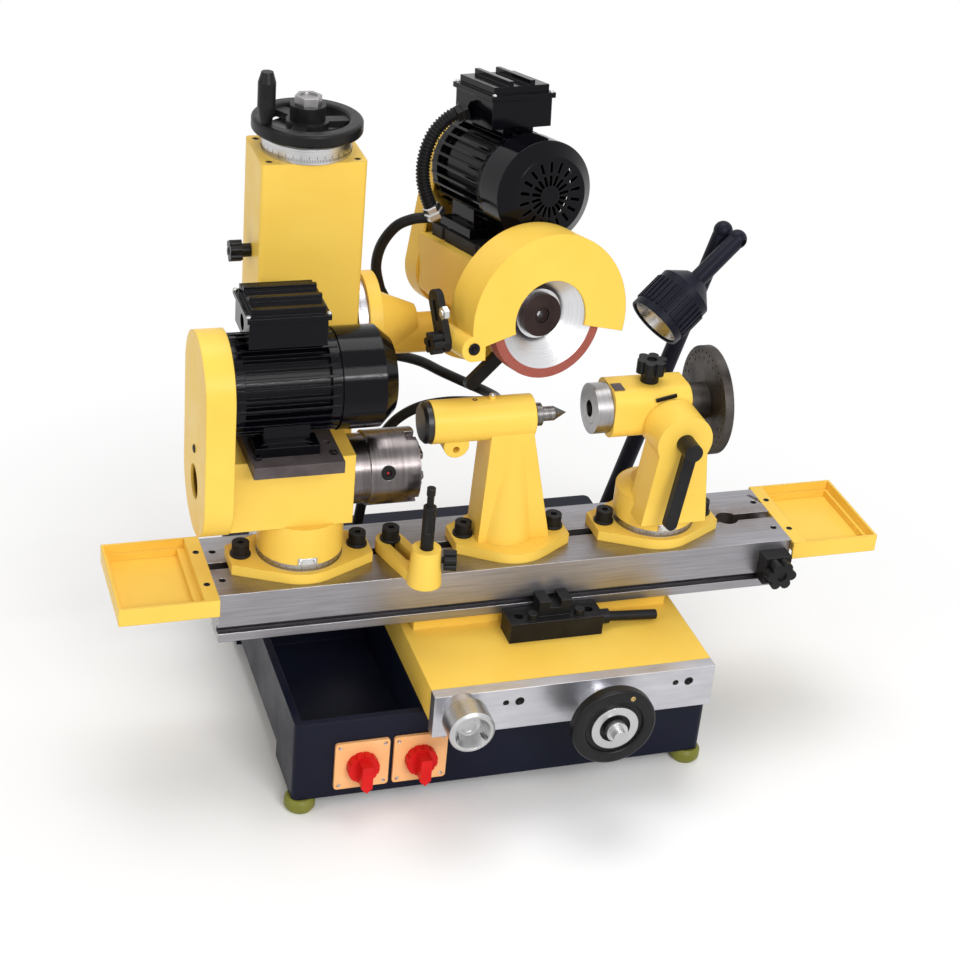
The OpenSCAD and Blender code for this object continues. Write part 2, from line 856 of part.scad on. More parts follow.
module table_lock() color([0.13, 0.13, 0.14]) {
    y1 = tab_y0 - lock_gap;
    difference() {
        union() {
            translate([lock_x, y1 - lock_d, sad_top]) cube([lock_w, lock_d, lock_h]);
            translate([lock_x + lock_w / 2 - dog_w / 2, y1 - lock_d * 2 / 3, sad_top]) cube([dog_w,
                lock_d * 2 / 3, dog_h]);
        }
        translate([lock_x + lock_w / 2 - dog_w / 6, y1 - lock_d, sad_top + dog_h * 4 / 5])
            cube([dog_w / 3, lock_d + over, dog_h]);
        for (x = [1 / 8, 7 / 8]) translate([lock_x + lock_w * x, y1 - lock_d / 2, sad_top +
            lock_h / 2]) rod(stud_d * 3 / 2, lock_h);
        to_x([lock_x + lock_w * 4 / 5, y1 - lock_d / 2, sad_top + lock_h / 2]) rod(stud_d +
            2 * run, lock_w);
    }
    for (x = [1 / 4, 3 / 4]) translate([lock_x + lock_w * x, y1 - lock_d * 3 / 4, sad_top +
        lock_h]) rod(lock_lever_d, lock_h / 3);
}
module lock_lever() color([0.07, 0.07, 0.08]) to_x([lock_x + lock_w,
    tab_y0 - lock_gap - lock_d / 2, sad_top + lock_h / 2]) {
    translate([0, 0, slide]) rod(lock_lever_d * 3 / 2, lock_lever_d);
    translate([0, 0, lock_lever_d / 6]) rotate([0, lever_lean / 2, 0]) rod(lock_lever_d, lock_lever_l);
    translate([0, 0, -lock_w / 6]) rod(stud_d, lock_w / 6 + lock_lever_d);
}

// Table and the units bolted to it
module table_slab() color([0.52, 0.50, 0.50]) difference() {
    translate([tab_x0, tab_y0, tab_z0]) cube([tab_w, tab_d, tab_h]);
    translate([tab_x0 - over, tab_mid - slot_w / 2, tab_top - slot_deep]) cube([tab_w + 2 * over,
        slot_w, slot_deep + over]);
    translate([tab_x0 - over, tab_mid - slot_head_w / 2, tab_top - slot_deep - slot_head_h])
        cube([tab_w + 2 * over, slot_head_w, slot_head_h]);
    translate([tab_x0 - over, tab_y0 - over, tab_z0 + front_slot_z]) cube([tab_w + 2 * over,
        front_slot_deep + over, front_slot_h]);
    translate([tab_x0 - over, tab_y0 + front_slot_deep, tab_z0 + front_slot_z +
        front_slot_h / 2 - front_slot_head / 2])
        cube([tab_w + 2 * over, front_slot_deep / 2, front_slot_head]);
    to_x([tab_x0 - over, tab_mid, rise_top - over]) rotate(90) linear_extrude(tab_w + 2 * over)
        dove(dove_w + 3 * slide, dove_h + over + slide, dove_lean);
    translate([entry_x, tab_mid, tab_top - slot_deep - slot_head_h]) rod(entry_d, tab_h);
    for (x = [tab_x0 + tap_in, tab_x0 + tab_w - tap_in], y = [1 / 4, 3 / 4])
        translate([x, tab_y0 + tab_d * y, tab_top - tap_deep]) rod(tap_d, tap_deep + over);
    translate([drain_x, tab_y0 + tab_d * 9 / 10, tab_top - drain_deep]) rotate(drain_turn) {
        translate([0, -drain_w / 2, 0]) cube([drain_l, drain_w, drain_deep + over]);
        translate([drain_l - drain_end / 2, 0, 0]) linear_extrude(drain_deep + over)
            soft_rect(drain_end, drain_w * 2, drain_w * pill_share);
    }
}
module tray(side) {
    o = tray_slope;
    difference() {
        translate([0, tray_y0, tab_top - tray_h]) cube([tray_w, tray_d, tray_h]);
        translate([tray_lip, tray_y0 + tray_t + o / 2, tab_top - tray_h + tray_t])
            cube([tray_w - tray_lip - tray_t - o / 2, tray_d - 2 * tray_t - o, tray_h]);
        translate([tray_lip - o, tray_y0 + tray_t, tab_top - tray_h / 2])
            cube([tray_w - tray_lip - tray_t + o, tray_d - 2 * tray_t, tray_h]);
        translate([-over, tray_y0 + tray_t, tab_top - tray_h - over]) cube([tray_lip - 2 * o +
            over, tray_d - 2 * tray_t, tray_h - tray_t + over]);
        for (y = [1 / 4, 3 / 4]) translate([tray_lip / 3, tray_y0 + tray_d * y,
            tab_top - 2 * tray_t]) rod(tap_d * 2 / 3, tray_h);
    }
}
module table_trays() color([0.98, 0.80, 0.26]) {
    translate([tab_x0 + tab_w, 0, 0]) tray();
    translate([tab_x0, 0, 0]) mirror([1, 0, 0]) tray();
}
module end_stop() color([0.09, 0.09, 0.10]) difference() {
    union() {
        translate([stop_x, tab_y0 - stop_d, tab_z0 + tab_h / 4]) cube([stop_w, stop_d, stop_h]);
        translate([stop_x + stop_w / 4, tab_y0, tab_z0 + front_slot_z + slide]) cube([stop_w / 2,
            front_slot_deep - slide, front_slot_h - 2 * slide]);
    }
    to_f([stop_x + stop_w / 2, tab_y0, tab_z0 + tab_h / 4 + stop_h / 2]) rod(stud_d + 2 * run,
        stop_d + over);
}
module end_stop_knob() color([0.05, 0.05, 0.06]) to_f([stop_x + stop_w / 2,
    tab_y0 - stop_d - slide, tab_z0 + tab_h / 4 + stop_h / 2]) {
    star(stop_knob_d, star_h);
    translate([0, 0, -stop_d * 3 / 4]) rod(stud_d, stop_d * 3 / 4 + over);
}
module unit_base(half, bore) {
    difference() {
        linear_extrude(flange_t) flange_shape(half);
        for (x = [-1, 1]) translate([x * (half - hold_in), 0, -over]) rod(rod_d + 2 * run,
            flange_t + 2 * over);
        if (bore > 0) translate([0, 0, -over]) rod(bore, flange_t + 2 * over);
    }
}
module unit_bases() color([0.98, 0.80, 0.26])
    for (u = [[hs_x, hs_half], [wh_x, wh_half]]) translate([u[0], unit_y, tab_top]) {
        unit_base(u[1], ring_d / 3);
        translate([0, 0, flange_t]) tube(ring_d, ring_d / 2, ring_h);
    }
module hold_down(x, half) {
    for (s = [-1, 1]) translate([x + s * (half - hold_in), unit_y, tab_top + flange_t]) {
        tube(washer_d, rod_d + 2 * run, washer_t);
        translate([0, 0, washer_t]) socket_screw(flange_t + slot_deep + washer_t + tnut_h);
    }
}
module hold_down_screws() color([0.07, 0.07, 0.07]) {
    tee_nuts();
    hold_down(hs_x, hs_half);
    hold_down(ts_x, ts_half);
    hold_down(wh_x, wh_half);
    translate([tr_x, tab_mid, tab_top + tr_arm_t]) {
        tube(washer_d, rod_d + 2 * run, washer_t);
        translate([0, 0, washer_t]) socket_screw(tr_arm_t + slot_deep + washer_t + tnut_h);
    }
}
module tee_nut() {
    difference() {
        translate([-tnut_w / 2, -tnut_w / 2, 0]) cube([tnut_w, tnut_w, tnut_h]);
        translate([0, 0, -over]) rod(rod_d + 2 * run, tnut_h + 2 * over);
    }
}
module tee_nuts() {
    z = tab_top - slot_deep - tnut_h;
    for (u = [[hs_x, hs_half], [ts_x, ts_half], [wh_x, wh_half]], s = [-1, 1])
        translate([u[0] + s * (u[1] - hold_in), tab_mid, z]) tee_nut();
    translate([tr_x, tab_mid, z]) tee_nut();
}

// Headstock that swivels on the table
module headstock_box() color([0.98, 0.80, 0.26]) difference() {
    union() {
        translate([box_x0, box_y0, box_z0]) cube([box_w, box_d, box_h]);
        translate([hs_x, unit_y, neck_top + slide]) rod(ring_d, box_z0 - neck_top - slide + over);
    }
    to_x([box_x0 - over, unit_y, hs_axis_z]) rod(hs_bore, box_w + 2 * over);
    for (x = [mplate_x0 + tap_in, mplate_x0 + mplate_w - tap_in], y = [box_y0 + tap_in, box_y0 +
        box_d - tap_in])
        translate([x, y, box_top - tap_deep]) rod(stud_d, tap_deep + over);
}
module headstock_motor_plate() color([0.36, 0.31, 0.31]) difference() {
    translate([mplate_x0, mplate_y0, box_top]) cube([mplate_w, mplate_d, mplate_t]);
    for (x = [mplate_x0 + tap_in, mplate_x0 + mplate_w - tap_in], y = [box_y0 + tap_in, box_y0 +
        box_d - tap_in])
        translate([x, y, box_top - over]) rod(stud_d, mplate_t + 2 * over);
}
// Finned motor frame standing along Z, its feet towards minus X
module motor_frame(r, l, drop) {
    f = r * fin_share;
    difference() {
        union() {
            rod(2 * r * core_share, l);
            linear_extrude(l * fin_run_share) union() for (a = [0:12:348]) rotate(a)
                translate([r * core_share - f, -f / 2]) square([r * (1 - core_share) + f, f]);
            rod(2 * r * shield_share, l * shield_run_share);
            translate([0, 0, l * (1 - shield_run_share)]) rod(2 * r * shield_share,
                l * shield_run_share);
            for (y = [-1, 1]) translate([-drop, y * r * foot_at_share - r * foot_w_share / 2,
                l * foot_from_share]) {
                cube([r * foot_t_share, r * foot_w_share, l * foot_run_share]);
                translate([0, r * foot_w_share / 3, l / 12]) cube([drop - r / 2,
                    r * foot_w_share / 3, l * foot_run_share - l / 6]);
            }
            translate([r * core_share, -r / 3, l * foot_from_share]) cube([r * (1 - core_share) +
                f, r * 2 / 3, l * foot_run_share]);
        }
        translate([0, 0, -over]) rod(r * shaft_bore_share, l + 2 * over);
        for (y = [-1, 1], z = [foot_from_share + 1 / 12, foot_from_share + foot_run_share - 1 / 12])
            translate([-drop - over, y * r * (foot_at_share + foot_w_share / 3), l * z]) rotate([0,
                90, 0]) rod(r * foot_hole_share, r / 2);
    }
}
module terminal_box(r, l) {
    w = r * box_wide_share;
    h = r * box_high_share;
    t = r * box_lid_share;
    z0 = l * box_from_share;
    lx = l * box_run_share;
    translate([r + r * fin_share, 0, z0]) {
        difference() {
            translate([0, -w / 2, 0]) cube([h, w, lx]);
            translate([h / 3, -w / 2 + t, t]) cube([h, w - 2 * t, lx - 2 * t]);
            translate([h / 2, 0, -over]) rod(w / 4, t + 2 * over);
        }
    }
}
module terminal_lid(r, l) {
    w = r * box_wide_share;
    h = r * box_high_share;
    t = r * box_lid_share;
    lx = l * box_run_share;
    translate([r + r * fin_share + h, -w / 2 - t, l * box_from_share - t]) {
        cube([t * 2, w + 2 * t, lx + 2 * t]);
        translate([t * 2, t * 2, t * 2]) cube([t * 3, w - 2 * t, lx - 2 * t]);
        for (y = [1 / 3, 2 / 3]) translate([t * 5, (w + 2 * t) * y - t, t * 2]) cube([t * 2, t * 2,
            lx - 2 * t]);
    }
}
module fan_cover(r, l) {
    o = r * cover_share;
    t = r * cover_wall_share;
    difference() {
        rotate_extrude($fn = round_fn) polygon([[0, l], [o * 3 / 4, l], [o, l * 3 / 4], [o, 0],
            [o - t, 0],
            [o - t, l * 3 / 4 - t], [o * 3 / 4 - t, l - t], [0, l - t]]);
        for (k = grille_shares, a = [0:20:340]) rotate(a) translate([o * k, -o * slit_share / 2,
            l - 2 * t])
            cube([o * slit_long_share, o * slit_share, 3 * t]);
    }
}
module hs_motor_at() { to_x([hm_x0, unit_y, hm_z]) rotate(180) children(); }
module headstock_motor() color([0.04, 0.04, 0.05]) hs_motor_at() motor_set(hm_r, hm_len, hm_axis,
    hm_cover);
module motor_set(r, l, drop, cover) {
    motor_frame(r, l, drop);
    terminal_box(r, l);
    terminal_lid(r, l);
    translate([0, 0, l]) fan_cover(r, cover);
}
module belt_guard_shell(r, t, wall, up) {
    difference() {
        linear_extrude(t) pill(r, up);
        translate([0, 0, wall]) linear_extrude(t) pill(r - wall, up);
    }
}
module headstock_belt_guard() color([0.98, 0.80, 0.26]) difference() {
    translate([box_x0 - guard_t, unit_y, hs_axis_z]) rotate([90, 0, 90]) belt_guard_shell(guard_r,
        guard_t, guard_wall, hm_z - hs_axis_z);
    to_x([box_x0 - guard_t - over, unit_y, hs_axis_z]) rod(guard_hole, guard_t + 2 * over);
    to_x([box_x0 - guard_t - over, unit_y, hs_axis_z + guard_r * 2 / 3]) rod(tap_d, guard_wall +
        2 * over);
}
module headstock_spindle() difference() {
    union() {
        to_x([box_x0 - guard_t * 3 / 4, unit_y, hs_axis_z]) rod(hs_spindle_d * 3 / 4, guard_t);
        to_x([box_x0, unit_y, hs_axis_z]) rod(hs_spindle_d, box_w + slide);
        to_x([box_x0 - guard_t * 3 / 4, unit_y, hs_axis_z]) difference() {
            rod(2 * guard_r * drive_share + guard_t / 4, guard_t / 2);
            translate([0, 0, guard_t / 8]) tube(2 * guard_r, 2 * guard_r * drive_share, guard_t / 4);
        }
    }
    to_x([box_x0 - guard_t, unit_y, hs_axis_z]) rod(hs_spindle_d / 2, box_w + 2 * guard_t);
}
module jaw_slot(gap, l) {
    for (a = [0, 120, 240]) rotate(a + jaw_turn) translate([0, -jaw_w / 2 - gap, 0]) cube([chuck_d,
        jaw_w + 2 * gap, l]);
}
module chuck_at() { to_x([box_x0 + box_w + slide, unit_y, hs_axis_z]) children(); }
module chuck_body() color([0.55, 0.53, 0.53]) {
    headstock_spindle();
    chuck_shell();
}
module chuck_shell() chuck_at() difference() {
    union() {
        rod(chuck_d - 2 * tray_t, chuck_back);
        translate([0, 0, chuck_back - over]) rod(chuck_d, chuck_l - chuck_back + over);
    }
    translate([0, 0, -over]) rod(chuck_bore, chuck_l + 2 * over);
    translate([0, 0, chuck_l - jaw_deep]) jaw_slot(slide, chuck_l);
    for (a = [0, 120, 240]) rotate(a + jaw_turn + key_turn) translate([chuck_d / 2 - key_deep, 0,
        chuck_l / 2]) rotate([0, 90, 0]) rod(key_d, chuck_d);
}
module jaw(k) {
    chuck_at() rotate(k * 120 + jaw_turn) translate([0, -jaw_w / 2, chuck_l - jaw_deep + slide])
        difference() {
        translate([jaw_r, 0, 0]) cube([jaw_l, jaw_w, jaw_h]);
        for (s = [1 / 3, 2 / 3]) translate([jaw_r + jaw_l * s, -over, jaw_h * (1 - s / 2)])
            cube([jaw_l, jaw_w + 2 * over, jaw_h]);
    }
}
module chuck_jaw_1() color([0.62, 0.61, 0.61]) jaw(0);
module chuck_jaw_2() color([0.62, 0.61, 0.61]) jaw(1);
module chuck_jaw_3() color([0.62, 0.61, 0.61]) jaw(2);

// Tooth rest
module tooth_rest_at() { translate([tr_x, tab_mid, tab_top]) rotate(tr_turn) children(); }
module tooth_rest_arm() color([0.98, 0.80, 0.26]) tooth_rest_at() difference() {
    union() {
        linear_extrude(tr_arm_t) {
            circle(d = tr_arm_w, $fn = round_fn);
            translate([0, -tr_arm_w / 2]) square([tr_arm, tr_arm_w]);
        }
        translate([tr_arm, 0, 0]) cylinder(d1 = tr_boss_d, d2 = tr_boss_top, h = tr_boss_h,
            $fn = round_fn);
    }
    translate([0, 0, -over]) linear_extrude(tr_arm_t + 2 * over) {
        circle(d = rod_d + 2 * run, $fn = round_fn);
        translate([0, -rod_d / 2 - run]) square([tr_arm - tr_boss_d / 2 - tr_slot, rod_d + 2 * run]);
        translate([tr_arm - tr_boss_d / 2 - tr_slot, 0]) circle(d = rod_d + 2 * run, $fn = round_fn);
    }
    translate([tr_arm, 0, tr_arm_t]) rod(tr_post_d + 2 * run, tr_boss_h);
    translate([tr_arm, 0, tr_boss_h * 2 / 3]) rotate([0, 90, tr_knob_turn]) rod(stud_d + 2 * run,
        tr_boss_d);
}
module tooth_rest_post() color([0.06, 0.06, 0.07]) tooth_rest_at() translate([tr_arm, 0, tr_arm_t +
    slide]) {
    difference() {
        rod(tr_post_d, tr_post_l * 4 / 5);
        translate([tr_post_d / 3, -tr_post_d, tr_post_l / 2]) cube([tr_post_d, 2 * tr_post_d,
            tr_post_l / 5]);
    }
    translate([0, 0, tr_post_l * 4 / 5 - over]) rod(tr_pin_d, tr_pin_l + over);
    translate([0, 0, tr_post_l * 4 / 5 + tr_pin_l - over]) rod(tr_post_d * 2 / 3, tr_pin_d + over);
}
module tooth_rest_knob() color([0.05, 0.05, 0.06]) tooth_rest_at()
    translate([tr_arm, 0, tr_boss_h * 2 / 3]) rotate([0, 90, tr_knob_turn]) translate([0, 0,
        tr_boss_d / 2 + slide]) {
        star(star_d, star_h);
        translate([0, 0, -tr_boss_d / 2 + tr_post_d / 2 + 2 * run]) rod(stud_d,
            tr_boss_d / 2 - tr_post_d / 2);
    }

// Tailstock
module tailstock_body() color([0.98, 0.80, 0.26]) difference() {
    union() {
        translate([ts_x, tab_mid, tab_top]) {
            unit_base(ts_half, 0);
            translate([-ts_shift / 2, 0, flange_t - over])
                cylinder(d1 = ts_foot_w * 4 / 5, d2 = ts_top_w * 4 / 5,
                    h = ts_axis_z - tab_top - flange_t + over, $fn = round_fn);
            to_f([0, ts_wing / 2, 0]) linear_extrude(ts_wing)
                polygon([[-ts_foot_w / 2, flange_t - over], [ts_foot_w / 2, flange_t - over],
                    [ts_top_w / 2 - ts_shift, ts_axis_z - tab_top], [-ts_top_w / 2 - ts_shift,
                        ts_axis_z - tab_top]]);
        }
        to_x([ts_x0, tab_mid, ts_axis_z]) rod(ts_barrel_d, ts_l);
        to_f([ts_x0 + ts_lug_d, tab_mid + ts_lug_d / 2, ts_axis_z - ts_barrel_d / 2]) rod(ts_lug_d,
            ts_lug_d);
        translate([ts_x0 + ts_l * 3 / 5, tab_mid, ts_axis_z + ts_barrel_d / 2 - tap_d / 2])
            rod(tap_d, tap_d);
    }
    to_x([ts_x0 - over, tab_mid, ts_axis_z]) rod(quill_d + 2 * run, ts_l + 2 * over);
    translate([ts_x0 - ts_wall, tab_mid - ts_wall / 4, ts_axis_z - ts_barrel_d])
        cube([2 * ts_lug_d, ts_wall / 2, ts_barrel_d]);
    to_f([ts_x0 + ts_lug_d, tab_mid + ts_lug_d, ts_axis_z - ts_barrel_d / 2 - ts_lug_d / 6])
        rod(stud_d, 2 * ts_lug_d);
}
module tailstock_quill() color([0.42, 0.42, 0.44]) {
    tailstock_knob();
    quill();
}
module quill() to_x([ts_x0 - slide, tab_mid, ts_axis_z]) {
    rod(quill_d, ts_l + quill_back + ts_collar);
    translate([0, 0, ts_l + quill_back]) rod(quill_d + ts_collar, ts_collar);
    translate([0, 0, ts_l]) rod(centre_d, quill_out);
    translate([0, 0, ts_l + quill_out]) cylinder(d1 = centre_d, d2 = 0, h = centre_l, $fn = round_fn);
}
module tailstock_knob() to_x([ts_x0 - ts_cap_l, tab_mid, ts_axis_z])
    rotate_extrude($fn = round_fn) polygon([[0, 0], [ts_cap_d / 2 - ts_wall / 2, 0], [ts_cap_d / 2,
        ts_wall / 2],
        [ts_cap_d / 2, ts_cap_l - slide], [0, ts_cap_l - slide]]);
// Workhead: swivel, tilt and index
module workhead_post() color([0.98, 0.80, 0.26]) difference() {
    union() {
        translate([wh_x, tab_mid, neck_top + slide]) {
            rod(ring_d, wh_neck_h);
            translate([0, 0, wh_neck_h - over]) cylinder(d1 = ring_d, d2 = ring_d - wh_neck_h,
                h = wh_neck_h / 3, $fn = round_fn);
        }
        to_f([wh_x, wh_face + wh_post_d, 0]) linear_extrude(wh_post_d)
            polygon([[-ring_d * post_share, neck_top + wh_neck_h / 2], [ring_d * post_share,
                neck_top + wh_neck_h / 2],
                [wh_post_top / 2, wh_tilt_z], [-wh_post_top / 2, wh_tilt_z]]);
        to_f([wh_x, wh_face + wh_post_d, wh_tilt_z]) rod(wh_boss_d, wh_post_d);
    }
    to_f([wh_x, wh_face + wh_post_d + over, wh_tilt_z]) rod(stud_d * 2 + 2 * run, wh_post_d + 2 * over);
}
module workhead_body() color([0.98, 0.80, 0.26]) difference() {
    union() {
        to_x([wh_x - wh_body_l + wh_body_d * 2 / 5, wh_body_y, wh_axis_z])
            linear_extrude(wh_body_l) soft_rect(wh_body_d, wh_body_d, wh_body_d * corner_share);
        to_f([wh_x, wh_body_y - wh_body_d * 3 / 8, wh_tilt_z])
            rod(wh_boss_d, wh_body_y - wh_body_d * 3 / 8 - wh_face - wh_post_d - slide);
    }
    to_x([wh_x - wh_body_l, wh_body_y, wh_axis_z]) rod(wh_spindle_d + 2 * run, 2 * wh_body_l);
    to_f([wh_x, wh_face + wh_post_d + stud_d * 2, wh_tilt_z]) rod(stud_d * 2 + 2 * run, wh_post_d);
    translate([wh_knob_x, wh_body_y, wh_axis_z + wh_spindle_d / 2]) rod(stud_d + 2 * run, wh_body_d);
}
module workhead_spindle() color([0.58, 0.58, 0.60]) {
    index_spindle();
    workhead_hand_nut();
}
module index_spindle() difference() {
    x0 = wh_x - wh_body_l + wh_body_d * 2 / 5;
    union() {
        to_x([x0 - wh_nose_l, wh_body_y, wh_axis_z]) tube(wh_nose_d, wh_spindle_d + 2 * run,
            wh_nose_l - slide);
        to_x([x0 - wh_nose_l, wh_body_y, wh_axis_z]) rod(wh_spindle_d, wh_nose_l + wh_body_l +
            rear_gap + index_t + hand_l / 2);
    }
    to_x([x0 - wh_nose_l - over, wh_body_y, wh_axis_z]) rod(wh_bore, wh_nose_l + wh_body_l +
        rear_gap + index_t + hand_l / 2 + 2 * over);
}
module index_plate() color([0.50, 0.48, 0.46]) to_x([wh_x + wh_body_d * 2 / 5 + rear_gap,
    wh_body_y, wh_axis_z]) difference() {
    union() {
        rod(index_d, index_t);
        translate([0, 0, slide - rear_gap]) rod(wh_spindle_d + tap_d, rear_gap);
    }
    translate([0, 0, -rear_gap]) rod(wh_spindle_d + 2 * run, rear_gap + index_t + over);
    for (k = [0, 1], i = [0:index_count - 1 - k * index_step])
        rotate(i * 360 / (index_count - k * index_step))
        translate([index_d / 2 * index_shares[k], 0, -over]) rod(index_hole, index_t / 3 + over);
}
module workhead_hand_nut() to_x([wh_x + wh_body_d * 2 / 5 + rear_gap + index_t, wh_body_y,
    wh_axis_z]) difference() {
    rod(hand_d, hand_l);
    translate([0, 0, -over]) rod(wh_spindle_d + 2 * run, hand_l / 2 + run + over);
    translate([0, 0, -over]) rod(wh_bore, hand_l + 2 * over);
    for (a = [0:30:330]) rotate(a) translate([hand_d / 2, 0, -over]) rod(hand_l / 4, hand_l + 2 * over);
}
module lever(l) {
    rod(lever_hub_d, lever_hub_l);
    translate([0, 0, lever_hub_l - lever_w]) rotate([-lever_lean, 0, 0]) {
        translate([-lever_w / 2, -l, 0]) cube([lever_w, l, lever_w * 2 / 3]);
        translate([0, -l, 0]) rod(lever_w, lever_w * 2 / 3);
    }
}
module workhead_lever() color([0.05, 0.05, 0.06]) to_f([wh_x, wh_face - slide, wh_tilt_z]) {
    rotate(-lever_turn) lever(lever_l);
    translate([0, 0, -wh_post_d - stud_d]) rod(stud_d * 2, wh_post_d + stud_d + over);
}
module workhead_knob() color([0.05, 0.05, 0.06]) translate([wh_knob_x, wh_body_y, wh_axis_z +
    wh_body_d / 2 + slide]) {
    rod(knob_d * 3 / 5, knob_h * 3 / 4);
    translate([0, 0, knob_h * 3 / 5]) star(knob_d, knob_h * 4 / 5);
    translate([0, 0, -wh_body_d / 2 + wh_spindle_d / 2 + 2 * run]) rod(stud_d,
        wh_body_d / 2 - wh_spindle_d / 2);
}

// Column that slides on the post
module column_sleeve() color([0.98, 0.80, 0.26]) translate([col_x, col_y, col_z0]) difference() {
    slab(col_w, col_d, col_h, col_r);
    translate([0, 0, -over]) slab(col_w - 2 * col_wall, col_d - 2 * col_wall, col_h - col_top +
        over, col_r);
    rod(lift_d + 2 * run, col_h + over);
    for (x = [-1, 1], y = [-1, 1]) translate([x * (col_w / 2 - tap_in), y * (col_d / 2 - tap_in),
        col_h - tap_d]) rod(tap_d, tap_d + over);
    to_x([-col_w / 2 - over, 0, lock_z - col_z0]) rod(stud_d + 2 * run, col_wall + 2 * over);
}
module lift_collar() color([0.78, 0.78, 0.79]) translate([col_x, col_y, col_top_z]) difference() {
    union() {
        rod(collar_d, collar_h * 4 / 5);
        rod(collar_d - collar_h / 2, collar_h);
    }
    translate([0, 0, -over]) rod(lift_d + 2 * run, collar_h + 2 * over);
}
module lift_handwheel() color([0.05, 0.05, 0.06]) translate([col_x, col_y, lift_wheel_z]) difference() {
    wheel_shape(lift_wheel_d, lift_rim, lift_hub_d, lift_hub_l, wheel_web, lift_d);
    rotate(crank_turn) translate([lift_wheel_d / 2 - lift_rim / 2, 0, -lift_rim]) rod(crank_pin +
        2 * run, 2 * lift_rim);
    translate([0, 0, -wheel_web]) linear_extrude(2 * wheel_web)
        spoke_gaps(lift_wheel_d / 2 - lift_rim, lift_hub_d * hub_share, lift_rim);
}
module lift_screw() color([0.64, 0.64, 0.66]) translate([col_x, col_y, 0]) {
    translate([0, 0, lift_low]) rod(lift_d, lift_wheel_z + lift_hub_l - lift_low);
    translate([0, 0, lift_wheel_z - lift_rim / 2 + lift_hub_l]) difference() {
        cylinder(d = lift_d * nut_share, h = lift_d / 2, $fn = 6);
        translate([0, 0, -over]) rod(lift_d, lift_d + over);
    }
}
module crank_handle() color([0.04, 0.04, 0.05]) translate([col_x, col_y, lift_wheel_z])
    rotate(crank_turn)
    translate([lift_wheel_d / 2 - lift_rim / 2, 0, 0]) {
        translate([0, 0, -lift_rim / 3]) rod(crank_pin, lift_rim + crank_l / 2);
        translate([0, 0, lift_rim / 2 + slide]) rotate_extrude($fn = round_fn) polygon([[0, 0],
            [crank_d / 3, 0], [crank_d / 2, crank_l / 3],
            [crank_d / 2, crank_l * 4 / 5], [crank_d / 3, crank_l], [0, crank_l]]);
    }
module column_lock_knob() color([0.05, 0.05, 0.06]) translate([col_x - col_w / 2 - slide, col_y,
    lock_z]) rotate([0, -90, 0]) {
    rod(star_d * 3 / 5, star_h);
    translate([0, 0, star_h * 3 / 4]) star(star_d, star_h);
    translate([0, 0, -col_wall * 4 / 5]) rod(stud_d, col_wall);
}
module arm_scale_ring() color([0.66, 0.64, 0.62]) to_x([col_right, col_y, arm_z]) tube(seat_d,
    spigot_d + 2 * run, seat_t);

// Arm that tilts on the column and carries the head
module arm_at() { translate([0, col_y, arm_z]) rotate([-head_tilt, 0, 0]) children(); }
module swing_arm() color([0.98, 0.80, 0.26]) arm_at() {
    difference() {
        union() {
            to_x([arm_x, 0, 0]) rod(arm_flange_d, arm_flange_t);
            to_x([col_right + slide, 0, 0]) rod(spigot_d, seat_t + over);
            to_x([arm_x + arm_flange_t - over, 0, -arm_drop / 3])
                cylinder(d1 = arm_flange_d * 3 / 4, d2 = arm_d * 4 / 5, h = arm_d, $fn = round_fn);
            to_x([arm_x + arm_flange_t - over, 0, -arm_drop]) rod(arm_d - 2 * way_gap,
                head_x - arm_x - arm_flange_t);
            translate([head_x, 0, -arm_drop - arm_d / 2]) rod(pad_d, arm_d);
        }
        translate([head_x, 0, -arm_drop - arm_d]) rod(pivot_d + 2 * run, 2 * arm_d);
        to_f([head_x + pad_d / 4, over, -arm_drop]) rod(stud_d + 2 * run, pad_d);
    }
}
module arm_lever() color([0.05, 0.05, 0.06]) arm_at() to_f([head_x + pad_d / 4,
    -pad_d * face_share - slide, -arm_drop]) {
    rotate(-arm_lever_turn) lever(lever_l * 3 / 4);
    translate([0, 0, -pad_d / 5]) rod(stud_d, pad_d / 5 + over);
}

// Wheel head on the arm
module head_at() { arm_at() translate([head_x, 0, pad_top - arm_z]) rotate(head_turn) translate([0,
    0, spin_up]) children(); }
module head_housing() color([0.98, 0.80, 0.26]) head_at() difference() {
    union() {
        to_f([0, body_y0 + body_l, 0]) linear_extrude(body_l) polygon([[-body_w / 2 + body_cut,
            -spin_up], [body_w / 2 - body_cut, -spin_up],
            [body_w / 2, -spin_up + body_cut], [body_w / 2, body_up], [-body_w / 2, body_up],
                [-body_w / 2, -spin_up + body_cut]]);
        to_f([0, body_y0 + over, 0]) rod(nose_d, nose_l + over);
        translate([0, 0, -spin_up - pad_h]) rod(pivot_d, pad_h + over);
    }
    to_f([0, body_y0 + body_l + over, 0]) rod(wheel_bore, body_l + nose_l + 2 * over);
    for (x = [-1, 1], y = [1 / 4, 3 / 4]) translate([x * (body_w / 2 - tap_in), body_y0 +
        body_l * y, body_up - tap_deep]) rod(stud_d, tap_deep + over);
}
module head_motor_plate() color([0.14, 0.13, 0.14]) head_at() translate([motor_off - hplate_w / 2,
    hplate_y0, body_up]) difference() {
    cube([hplate_w, hplate_l, hplate_t]);
    for (x = [-1, 1], y = [1 / 4, 3 / 4]) translate([hplate_w / 2 - motor_off +
        x * (body_w / 2 - tap_in), body_y0 + body_l * y - hplate_y0, -over])
        rod(stud_d, hplate_t + 2 * over);
}
module head_motor_at() { head_at() translate([motor_off, wm_y0 + wm_len, wm_z]) rotate([90, 0, 0])
    rotate(90) children(); }
module head_motor() color([0.04, 0.04, 0.05]) head_motor_at() motor_set(wm_r, wm_len, wm_axis,
    wm_cover);
